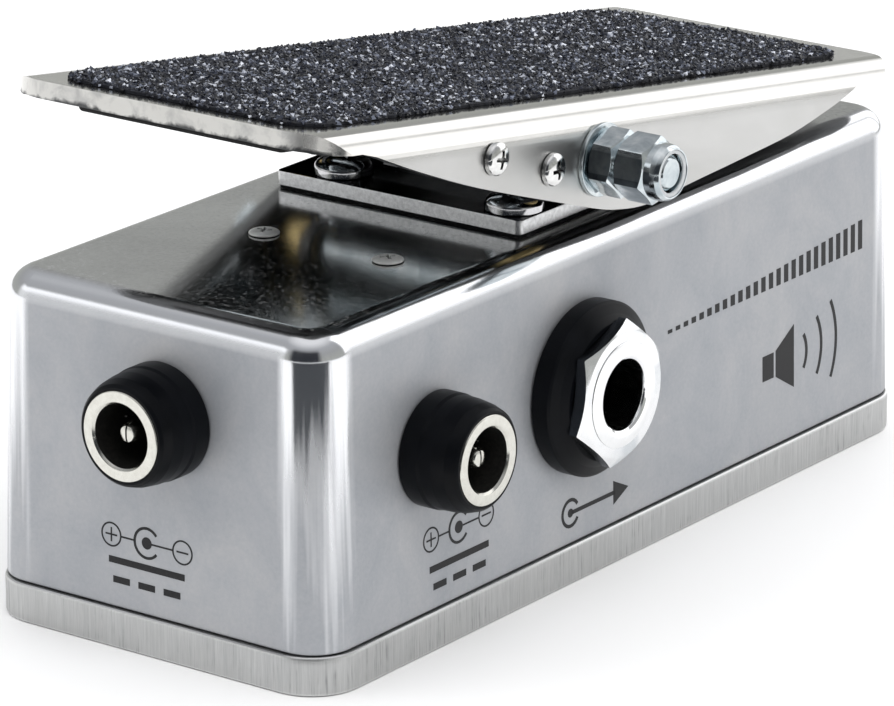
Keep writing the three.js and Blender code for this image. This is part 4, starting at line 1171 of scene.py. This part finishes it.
def make_hinge_screws():
    for i, ((x, y), turn) in enumerate(zip(BRACKET_SCREWS, (12, 48, 30, 70))):
        pan_screw(f"hinge_screw_{i + 1}", turn, "+z", (x, y, CHANNEL_Z + GAP), "dark_plated",
                  **HINGE_SCREW)


def make_lid_screws():
    for stem, places, length, first_turn in (("board_screw", BOARD_SCREWS, 8.4, 20),
                                             ("pot_bracket_screw", POT_SCREWS, 4.6, 70)):
        for i, (x, y) in enumerate(places):
            # the near-white screw surface is a painted highlight
            pan_screw(f"{stem}_{i + 1}", first_turn + 31 * i, "+z", (x, y, BOX_TOP + GAP),
                      "satin_screw", length=length, **LID_SCREW)


def make_yoke_screws():
    places = [(side, s, n) for side in (-1, 1) for s, n in YOKE_SCREWS]
    for i, ((side, s, n), turn) in enumerate(zip(places, (-4, 9, 30, 62))):
        origin = (CENTRE_X + side * (SHEET_WIDTH / 2 + GAP), s, n)
        pan_screw(f"yoke_screw_{i + 1}", turn, SIDEWAYS[side], origin, "bright_steel", "treadle",
                  **YOKE_SCREW)


# ------------------------------------------------------------------ axle hardware
WASHER_THICK, NUT_HEIGHT, LOCKNUT_HEIGHT = 0.5, 2.75, 4.75
NUT_ACROSS = 5.5
BOLT_OVERHANG = 0.25  # the bolt ends this far short of the locking nut's outer face
NUT_X = SHEET_LEFT - WASHER_THICK
LOCKNUT_X = NUT_X - NUT_HEIGHT


def make_washers():
    thick = WASHER_THICK - 0.04
    profile = rounded([(1.82, 0), (3.4, 0), (3.4, thick), (1.82, thick)], 0.12, 3)
    for side, x, name in ((-1, SHEET_LEFT - GAP, "axle_washer_left"),
                          (1, SHEET_RIGHT + GAP, "axle_washer_right")):
        build(f"{name}_body", tilt(lay(lathe(profile, 64), SIDEWAYS[side], (x, 0, 0))),
              "zinc_steel", name, "treadle", sharp=40)


def make_nuts():
    """Plain nut, then the locking nut: hexagon, turned collar and nylon ring."""
    nut = hexnut(NUT_ACROSS, NUT_HEIGHT - 0.04, 1.8, turn=86, chamfer=0.55, chamfer_bottom=True)
    build("axle_nut_body", tilt(lay(nut, "-x", (NUT_X - GAP, 0, 0))), "zinc_nut", "axle_nut",
          "treadle", sharp=24)
    origin = (LOCKNUT_X - GAP, 0, 0)
    nut = as_object(*hexnut(NUT_ACROSS, 3.3, 1.8, turn=86, chamfer=0.5, chamfer_bottom=True))
    collar = rounded([(1.83, 3.0), (2.62, 3.0), (2.62, 3.85), (2.52, 4.35), (2.28, 4.72),
                      (2.14, 4.72), (2.14, 4.4), (1.83, 4.4)], 0.14, 3)
    combine(nut, "UNION", lathe(collar, 64))
    build("axle_locknut_body", tilt(lay(as_solid(nut), "-x", origin)), "zinc_nut",
          "axle_locknut", "treadle", sharp=24)
    ring = rounded([(1.79, 4.42), (2.13, 4.42), (2.13, 4.66), (1.79, 4.60)], 0.05, 2)
    build("locknut_insert_ring", tilt(lay(lathe(ring, 48), "-x", origin)), "nylon_insert",
          body="treadle", sharp=40)


def make_bolt():
    """Threaded at the left with a chamfered end, plain further in, hexagon head at the right."""
    start = LOCKNUT_X - LOCKNUT_HEIGHT + BOLT_OVERHANG
    head_x = SHEET_RIGHT + WASHER_THICK + GAP
    verts, faces = thread(1.75, 0.10, 0.7, 0, head_x - start + 0.6, count=40, step=0.16)
    radius = np.hypot(verts[:, 0], verts[:, 1])
    chamfered = np.minimum(radius, np.maximum(1.30 + verts[:, 2], 0.2))
    new_radius = np.where(verts[:, 2] > 14, 1.72, chamfered)
    verts[:, :2] *= (new_radius / np.maximum(radius, 1e-6))[:, None]
    bolt = as_object(*lay((verts, faces), "+x", (start, 0, 0)))
    head_place = ("+x", (head_x, 0, 0))
    head = as_object(*lay(hexnut(NUT_ACROSS, 2.5, 0.3, turn=90, chamfer=0.35), *head_place))
    combine(head, "UNION", lay(rod("z", 0.6, 0.05, 2.45, 0, 0, 24), *head_place))
    boolean(bolt, head, "UNION")
    bolt.data.transform(TILT_MATRIX)
    take(bolt, "axle_bolt_body", "zinc_steel", "axle_bolt", "treadle", sharp=26, weighted=False)


def make_bushes():
    """Flanged bushes between the channel's ears and the treadle skirts."""
    for name, side in (("axle_bush_left", -1), ("axle_bush_right", 1)):
        ear_x = CENTRE_X + side * CHANNEL_HALF
        skirt_x = CENTRE_X + side * (SHEET_WIDTH / 2 - SHEET_THICK - 0.15)
        length = abs(skirt_x - ear_x)
        profile = rounded([(1.86, -CHANNEL_THICK), (2.2, -CHANNEL_THICK), (2.2, 0.02), (2.5, 0.02),
                           (2.5, length - 0.3), (2.3, length), (1.86, length)], 0.1, 3)
        build(f"{name}_body", lay(lathe(profile, 56), SIDEWAYS[side], (ear_x, AXLE_Y, AXLE_Z)),
              "brass", name, sharp=36)


# ------------------------------------------------------------------ audio sockets
# outlines as (radius, distance out from the wall), with a corner radius for each point
BEZEL = [(4.95, 0.02), (8.15, 0.02), (8.15, 1.75), (7.9, 1.98), (7.1, 2.45), (6.4, 3.0),
         (4.95, 3.0)]
BEZEL_CORNERS = [0.05, 0.15, 0.18, 0.14, 0.3, 0.16, 0.1]
SLEEVE = [(3.25, -3.5), (4.62, -3.5), (4.62, 4.49), (4.95, 4.49), (4.90, 4.53), (4.30, 4.66),
          (3.90, 4.72), (3.55, 4.66), (3.32, 4.52), (3.25, 4.3)]
SLEEVE_CORNERS = [0.1, 0.1, 0.03, 0.02, 0.05, 0.25, 0.2, 0.12, 0.1, 0.1]


def make_audio(name, side, y, turn):
    place = (SIDEWAYS[side], (side * box_side(JACK_Z - 8.2), y, JACK_Z))
    build(f"{name}_bezel_ring", lay(lathe(rounded(BEZEL, BEZEL_CORNERS, 5), 112), *place),
          "black_plastic", f"{name}_bezel", sharp=42)
    nut = hexnut(12.0, 1.42, 4.66, turn=turn, chamfer=0.16, corner=0.10, flat_points=9)
    build(f"{name}_hex_nut", lay(shift(nut, 0, 0, 3.04), *place), "chrome_nut", f"{name}_nut",
          sharp=20)
    # sleeve with a funnel mouth
    build(f"{name}_threaded_sleeve", lay(lathe(rounded(SLEEVE, SLEEVE_CORNERS, 4), 96), *place),
          "chrome", f"{name}_sleeve", sharp=34)


# ------------------------------------------------------------------ power sockets
POWER_OUT = 6.0  # how far the sockets stand out from the wall
# outlines as (radius, distance out from the wall), with a corner radius for each point
BARREL = [(3.4, -8.5), (4.0, -8.5), (4.0, 0.02), (5.25, 0.02), (5.25, 1.9), (5.14, 2.25),
          (5.10, 3.4), (4.92, 4.7), (4.62, 5.62), (4.36, 5.88), (4.15, 5.88),
          (4.15, POWER_OUT - 0.75), (3.4, POWER_OUT - 0.75)]
BARREL_CORNERS = [0.1, 0.1, 0.08, 0.18, 0.16, 0.1, 0.4, 0.4, 0.25, 0.08, 0.04, 0.04, 0.05]
CONTACT = [(2.9, -8.0), (3.35, -8.0), (3.35, POWER_OUT - 0.72), (4.1, POWER_OUT - 0.72),
           (4.1, POWER_OUT - 0.03), (3.12, POWER_OUT), (2.9, POWER_OUT - 0.22)]
CONTACT_CORNERS = [0.05, 0.05, 0.04, 0.04, 0.14, 0.12, 0.06]
PIN = [(0, -10.2), (4.0, -10.2), (4.0, -8.55), (2.8, -8.55), (2.8, -5.5), (0.95, -5.5),
       (0.95, POWER_OUT - 1.5), (0.90, POWER_OUT - 1.2), (0.72, POWER_OUT - 0.98),
       (0.40, POWER_OUT - 0.88), (0, POWER_OUT - 0.86)]
LEAF = [(2.74, -5.2), (2.66, 0.8), (2.10, 2.4), (1.42, 3.5), (1.26, 4.1), (1.50, 4.6)]
LEAF_HALF_THICK, LEAF_HALF_WIDTH = 0.09, 0.16


def leaf_contact():
    """Narrow strip that follows the smoothed LEAF line."""
    path = catmull(LEAF, 5)
    loops = []
    for i, (radius, out) in enumerate(path):
        along = np.array(path[min(i + 1, len(path) - 1)]) - np.array(path[max(i - 1, 0)])
        along /= np.hypot(*along)
        dr, dz = -along[1] * LEAF_HALF_THICK, along[0] * LEAF_HALF_THICK
        loops.append([(radius + dr * a, LEAF_HALF_WIDTH * b, out + dz * a)
                      for a, b in ((-1, -1), (1, -1), (1, 1), (-1, 1))])
    return loft(loops)


def make_power(name, direction, origin, leaf_turn):
    place = (direction, origin)
    build(f"{name}_barrel", lay(lathe(rounded(BARREL, BARREL_CORNERS, 4), 96), *place),
          "black_plastic", f"{name}_shell", sharp=40)
    # contact ring with a dark bore
    verts, faces = lathe(rounded(CONTACT, CONTACT_CORNERS, 4), 96)
    bore = [1 if max(math.hypot(*verts[i][:2]) for i in f) < 3.0 else 0 for f in faces]
    ring = mesh_piece(f"{name}_contact_ring", lay((verts, faces), *place),
                      ["nickel_ring", "socket_bore"], 36, bore)
    own(ring, "base", f"{name}_ring")
    # split centre pin on its floor
    pin = as_object(*lathe(PIN, 56))
    cut(pin, block(-0.09, 0.09, -1.4, 1.4, POWER_OUT - 3.6, POWER_OUT + 1))
    build(f"{name}_centre_pin", lay(as_solid(pin), *place), "nickel_ring", f"{name}_pin")
    build(f"{name}_leaf_contact", lay(spin(leaf_contact(), leaf_turn), *place), "chrome",
          sharp=40)


# ------------------------------------------------------------------ printed marks
# Thin raised ink without lettering. Marks are drawn in (u, z): u runs to the right as the
# face is seen from outside. A shape is an outline (list) or an (outer, inner) pair of them.
INK_THICK, INK_SUNK = 0.035, 0.012


def on_left(verts):
    u, z, out = verts.T
    return np.stack([-(box_side(z) - INK_SUNK + out), -u, z], 1)


def on_toe(verts):
    u, z, out = verts.T
    return np.stack([-u, box_end(z) - INK_SUNK + out, z], 1)


def make_mark(name, shapes, place):
    solids = []
    for shape in shapes:
        if isinstance(shape, tuple):
            outer, inner = shape
            levels = ((outer, 0), (outer, INK_THICK), (inner, INK_THICK), (inner, 0))
            solids.append(loft([[(u, z, out) for u, z in line] for line, out in levels],
                               ring=True))
        else:
            solids.append(prism(shape, "z", 0, INK_THICK))
    verts, faces = join_solids(solids)
    build(name, (place(verts), faces), "print_ink")


def circle(u, z, radius, count):
    return arc(u, z, radius, 0, 360, count)[:-1]


def ring(u, z, radius, width):
    return circle(u, z, radius + width / 2, 44), circle(u, z, radius - width / 2, 44)


def arc_band(u, z, radius, width, start, end):
    outer = arc(u, z, radius + width / 2, start, end, 28)
    return outer + arc(u, z, radius - width / 2, start, end, 28)[::-1]


def rect(u0, z0, u1, z1):
    return [(u0, z0), (u1, z0), (u1, z1), (u0, z1)]


def bar(u0, z0, u1, z1, width):
    a, b = np.array([u0, z0], float), np.array([u1, z1], float)
    along = (b - a) / np.hypot(*(b - a))
    p = np.array([-along[1], along[0]]) * width / 2
    return [tuple(a - p), tuple(b - p), tuple(b + p), tuple(a + p)]


def polarity(u, z, width):
    """Plus at the left, minus at the right, an open ring round a dot in the middle."""
    radius, line = width * 0.105, 0.16
    sign, barrel, dot = radius * 0.62, width * 0.135, width * 0.055
    plus, minus = u - width / 2 + radius, u + width / 2 - radius
    return [ring(plus, z, radius, line), bar(plus - sign, z, plus + sign, z, line),
            bar(plus, z - sign, plus, z + sign, line),
            ring(minus, z, radius, line), bar(minus - sign, z, minus + sign, z, line),
            arc_band(u, z, barrel, 0.26, 38, 322), circle(u, z, dot, 28),
            bar(plus + radius, z, u - barrel, z, line), bar(u + dot, z, minus - radius, z, line)]


def direct_current(u, z0, z1, width):
    """A solid bar over three short ones."""
    top, bottom, line = z1 - 0.55, z0 + 0.65, 0.62
    shapes = [bar(u - width / 2, top, u + width / 2, top, line)]
    pitch = width / 3.0
    for i in range(3):
        middle = u - width / 2 + pitch * (i + 0.5)
        shapes.append(bar(middle - pitch * 0.33, bottom, middle + pitch * 0.33, bottom, line))
    return shapes


def output_arrow(u, z):
    """An arrow leaving an open ring."""
    return [arc_band(u - 3.6, z, 1.25, 0.34, 30, 330), bar(u - 3.4, z, u + 3.4, z, 0.40),
            [(u + 3.2, z - 1.15), (u + 5.6, z), (u + 3.2, z + 1.15)],
            circle(u - 3.6, z, 0.42, 24)]


def level_bars(u, z, count=26, pitch=1.30, width=0.72):
    """A row of rising bars."""
    shapes = []
    for i in range(count):
        left = u + i * pitch
        height = 0.35 + 2.55 * (i / (count - 1)) ** 1.15
        shapes.append(rect(left, z, left + width, z + height))
    return shapes


def speaker(u, z):
    """Loudspeaker with three waves."""
    shapes = [rect(u - 8.0, z - 1.25, u - 6.1, z + 1.25),
              [(u - 5.75, z - 1.3), (u - 2.6, z - 3.15), (u - 2.6, z + 3.15), (u - 5.75, z + 1.3)]]
    for k, radius in enumerate((3.0, 5.6, 8.2)):
        shapes.append(arc_band(u - 3.4, z, radius, 0.42, -34 + 3 * k, 34 - 3 * k))
    return shapes


def make_marks():
    make_mark("mark_polarity_toe", polarity(-0.57, 10.45, 10.2), on_toe)
    make_mark("mark_supply_toe", direct_current(-0.6, 5.7, 8.7, 8.6), on_toe)
    make_mark("mark_polarity_side", polarity(-26.6, 10.35, 10.4), on_left)
    make_mark("mark_supply_side", direct_current(-26.6, 5.2, 8.1, 8.8), on_left)
    make_mark("mark_output_arrow", output_arrow(-6.0, 6.7), on_left)
    make_mark("mark_level_bars", level_bars(6.2, 19.6), on_left)
    make_mark("mark_speaker", speaker(30.0, 11.9), on_left)


# ------------------------------------------------------------------ CAD pieces kept as they are
# name: (material, bevel width); anything else is zinc_steel without a bevel
KEPT = {
    "hinge_gasket": ("black_rubber", 0.0), "treadle_yoke": ("zinc_steel", 0.12),
    "sector_gear": ("polished_steel", 0.0), "pinion": ("acetal", 0.0),
    "pot_shaft": ("zinc_steel", 0.1), "pot_body": ("phenolic", 0.25),
    "pot_nut": ("zinc_steel", 0.1), "pot_bracket": ("zinc_steel", 0.12),
    "circuit_board": ("board_green", 0.05), "board_spacer_1": ("brass", 0.08),
    "board_spacer_2": ("brass", 0.08), "output_socket_housing": ("black_plastic", 0.3),
    "input_socket_housing": ("black_plastic", 0.3),
}


def finish_kept():
    for name, ob in NODES.items():
        if ob.hide_render:
            continue
        material, bevel = KEPT.get(name, ("zinc_steel", 0.0))
        if not ob.material_slots:
            ob.data.materials.append(MATERIALS[material])
        for slot in ob.material_slots:
            slot.material = MATERIALS[material]
        if bevel:
            add_bevel(ob, bevel, segments=2, angle=40)


# ------------------------------------------------------------------ studio (metres)
def stage_sheet(name, points, faces):
    mesh = bpy.data.meshes.new(name)
    mesh.from_pydata(points, [], faces)
    ob = bpy.data.objects.new(name, mesh)
    scene.collection.objects.link(ob)
    return ob


def make_floor():
    count, half, z = 40, 3.0, -0.00002
    steps = [-half + 2 * half * i / count for i in range(count + 1)]
    row = count + 1
    starts = [j * row + i for j in range(count) for i in range(count)]
    floor = stage_sheet("floor", [(x, y, z) for y in steps for x in steps],
                        [(a, a + 1, a + row + 1, a + row) for a in starts])
    mat = Material("floor_pale")
    cloud = mat.noise(0.004, detail=2, roughness=0.5)
    color = mat.tones(cloud, (0.95, 0.95, 0.95), (0.97, 0.97, 0.97))
    floor.data.materials.append(mat.finish(color=color, rough=0.9, spec=0.1))


def make_world():
    """Pale dome; polished faces see soft boxes, a grey ceiling and a dark camera side."""
    world = bpy.data.worlds.new("studio")
    scene.world = world
    world.use_nodes = True
    sky = Nodes(world.node_tree)
    sky.tree.nodes.clear()
    output = sky.node("ShaderNodeOutputWorld")
    background = sky.node("ShaderNodeBackground")
    x, y, height = sky.split(sky.node("ShaderNodeTexCoord").outputs["Generated"])
    # 0 at azimuth -180 degrees, 1 at +180
    turn = sky.plus(sky.math("DIVIDE", sky.math("ARCTAN2", y, x), 2 * math.pi), 0.5)

    def window(start, end, soft):
        """1 between two azimuths in degrees, with soft edges."""
        edges = ((start - soft, 0.0), (start + soft, 1.0), (end - soft, 1.0), (end + soft, 0.0))
        return sky.ramp(turn, [((degrees + 180) / 360.0, level) for degrees, level in edges])

    dome = sky.ramp(height, [
        (0.0, (0.46, 0.465, 0.45)), (0.20, (0.44, 0.45, 0.43)), (0.38, (0.55, 0.555, 0.55)),
        (0.55, (1.05, 1.05, 1.06)), (1.0, (1.15, 1.15, 1.17))])
    ceiling = sky.ramp(height, [
        (0.0, (0.46, 0.465, 0.45)), (0.20, (0.44, 0.45, 0.43)), (0.45, (0.40, 0.405, 0.41)),
        (0.75, (0.46, 0.47, 0.49)), (0.95, (0.90, 0.90, 0.92))])
    # soft box on the heel side, with a seam
    box = sky.times(window(-136, -72, soft=2.0),
                    sky.ramp(height, [(0.04, 0.0), (0.09, 1.0), (0.80, 1.0), (0.86, 0.0)]))
    seam = sky.times(window(-101.0, -95.5, soft=1.2), 0.70)
    box = sky.times(box, sky.inverse(seam))
    strip = sky.times(window(28, 60, soft=6.0), sky.ramp(height, [
        (0.06, 0.45), (0.30, 0.55), (0.38, 1.0), (0.50, 1.0), (0.58, 0.0)]))
    dark = sky.times(window(76, 153, soft=6.0), sky.ramp(height, [(0.55, 1.0), (0.72, 0.0)]))
    mirrored = sky.mix(box, ceiling, (1.62, 1.62, 1.64))
    mirrored = sky.mix(strip, mirrored, (1.30, 1.31, 1.34))
    mirrored = sky.mix(dark, mirrored, (0.035, 0.038, 0.045))
    is_glossy = sky.node("ShaderNodeLightPath").outputs["Is Glossy Ray"]
    sky.put(background.inputs["Color"], sky.mix(is_glossy, dome, mirrored))
    sky.put(background.inputs["Strength"], 0.96)
    sky.put(output.inputs[0], background.outputs[0])


CARD_X, CARD_Y = -18.0, 45.5  # centre of the card's fan, millimetres


def card_material():
    """Dark wedge that fades in with the distance from the fan's centre."""
    mat = Material("camera_side_card")
    x, y, _ = mat.split(mat.coords())
    dx, dy = mat.plus(x, -CARD_X), mat.math("SUBTRACT", y, CARD_Y)
    distance = mat.math("SQRT", mat.plus(mat.times(dx, dx), mat.times(dy, dy)))
    angle = mat.times(mat.math("ARCTAN2", dy, dx), 180 / math.pi)
    beyond = mat.math("SUBTRACT", angle, mat.remap(distance, (48, 84), to=(148, 176)))
    wedge = mat.times(mat.remap(angle, (78, 84)), mat.remap(beyond, (-4, 3), to=(1, 0)))
    fade = mat.ramp(mat.remap(distance, (0, 80)), [
        (0.35, 0.0), (0.50, 0.12), (0.68, 0.40), (0.84, 0.80), (1.0, 0.97)])
    emission = mat.node("ShaderNodeEmission")
    mat.put(emission.inputs["Color"], (0.03, 0.035, 0.042))
    blend = mat.node("ShaderNodeMixShader")
    mat.put(blend.inputs[0], mat.times(wedge, fade))
    mat.put(blend.inputs[1], mat.node("ShaderNodeBsdfTransparent").outputs[0])
    mat.put(blend.inputs[2], emission.outputs[0])
    mat.put(mat.tree.nodes["Material Output"].inputs[0], blend.outputs[0])
    mat.tree.nodes.remove(mat.surface)
    return mat.material


def make_card():
    """A fan low on the camera side that only polished faces see."""
    rings, spokes = 10, 24
    points = []
    for j in range(rings + 1):
        radius = 0.004 + 0.55 * (j / rings) ** 2
        fan = arc(CARD_X / 1000, CARD_Y / 1000, radius, 74, 180, spokes)
        points += [(x, y, 0.0004) for x, y in fan]
    row = spokes + 1
    starts = [j * row + i for j in range(rings) for i in range(spokes)]
    card = stage_sheet("camera_side_card", points,
                       [(a, a + row, a + row + 1, a + 1) for a in starts])
    card.data.materials.append(card_material())
    card.visible_camera = card.visible_diffuse = False
    card.visible_shadow = card.visible_transmission = False


def area_light(name, location, size, energy, color=(1, 1, 1)):
    """Rectangular light aimed at the middle of the box; polished faces don't see it."""
    light = bpy.data.lights.new(name, "AREA")
    light.shape = "RECTANGLE"
    light.size, light.size_y = size
    light.energy = energy
    light.color = color
    light.spread = math.pi
    ob = bpy.data.objects.new(name, light)
    ob.location = location
    ob.rotation_mode = "QUATERNION"
    ob.rotation_quaternion = (Vector(location) - Vector((0, 0, 0.02))).to_track_quat("Z", "Y")
    ob.visible_glossy = False
    scene.collection.objects.link(ob)


def make_lights():
    area_light("key", (-0.55, 0.25, 0.85), size=(0.6, 0.6), energy=3.45, color=(1, 0.995, 0.985))
    area_light("fill", (0.7, 0.5, 0.7), size=(0.7, 0.5), energy=1.8, color=(0.985, 0.99, 1))
    area_light("back", (0.15, -0.8, 0.6), size=(0.8, 0.4), energy=1.6)


def make_camera():
    """Looks from the toe's left, slightly down."""
    right = Vector((-0.79919708, -0.60105522, -0.00408056)).normalized()
    forward = Vector((0.57092205, -0.75697231, -0.31786937)).normalized()
    up = right.cross(forward).normalized()
    camera = bpy.data.cameras.new("camera")
    camera.sensor_fit = "HORIZONTAL"
    camera.sensor_width = 36.0
    camera.lens = 228.54
    camera.shift_x, camera.shift_y = 0.0510, 0.0290
    camera.clip_start, camera.clip_end = 0.01, 20
    ob = bpy.data.objects.new("camera", camera)
    matrix = Matrix((right, up, -forward)).transposed().to_4x4()
    matrix.translation = Vector((-0.29892, 0.40633, 0.18236))
    ob.matrix_world = matrix
    scene.collection.objects.link(ob)
    scene.camera = ob
    view = scene.view_settings
    view.view_transform = "Standard"
    view.look = "None"
    view.exposure = 0.0
    view.gamma = 1.0


make_base_plate()
make_base_screws()
make_enclosure()
make_treadle()
make_pad()
make_bumpers()
make_hinge_strip()
make_hinge_channel()
make_bracket_rivets()
make_hinge_screws()
make_lid_screws()
make_yoke_screws()
make_washers()
make_nuts()
make_bolt()
make_bushes()
make_audio("output_socket", -1, JACK_OUT_Y, turn=20)
make_audio("input_socket", 1, JACK_IN_Y, turn=12)
make_power("power_socket_toe", "+y", (POWER_TOE_X, box_end(POWER_TOE_Z - 5.4), POWER_TOE_Z),
           leaf_turn=105)
make_power("power_socket_side", "-x", (-box_side(POWER_SIDE_Z - 5.4), POWER_SIDE_Y, POWER_SIDE_Z),
           leaf_turn=80)
make_marks()
finish_kept()
make_floor()
make_world()
make_card()
make_lights()
make_camera()
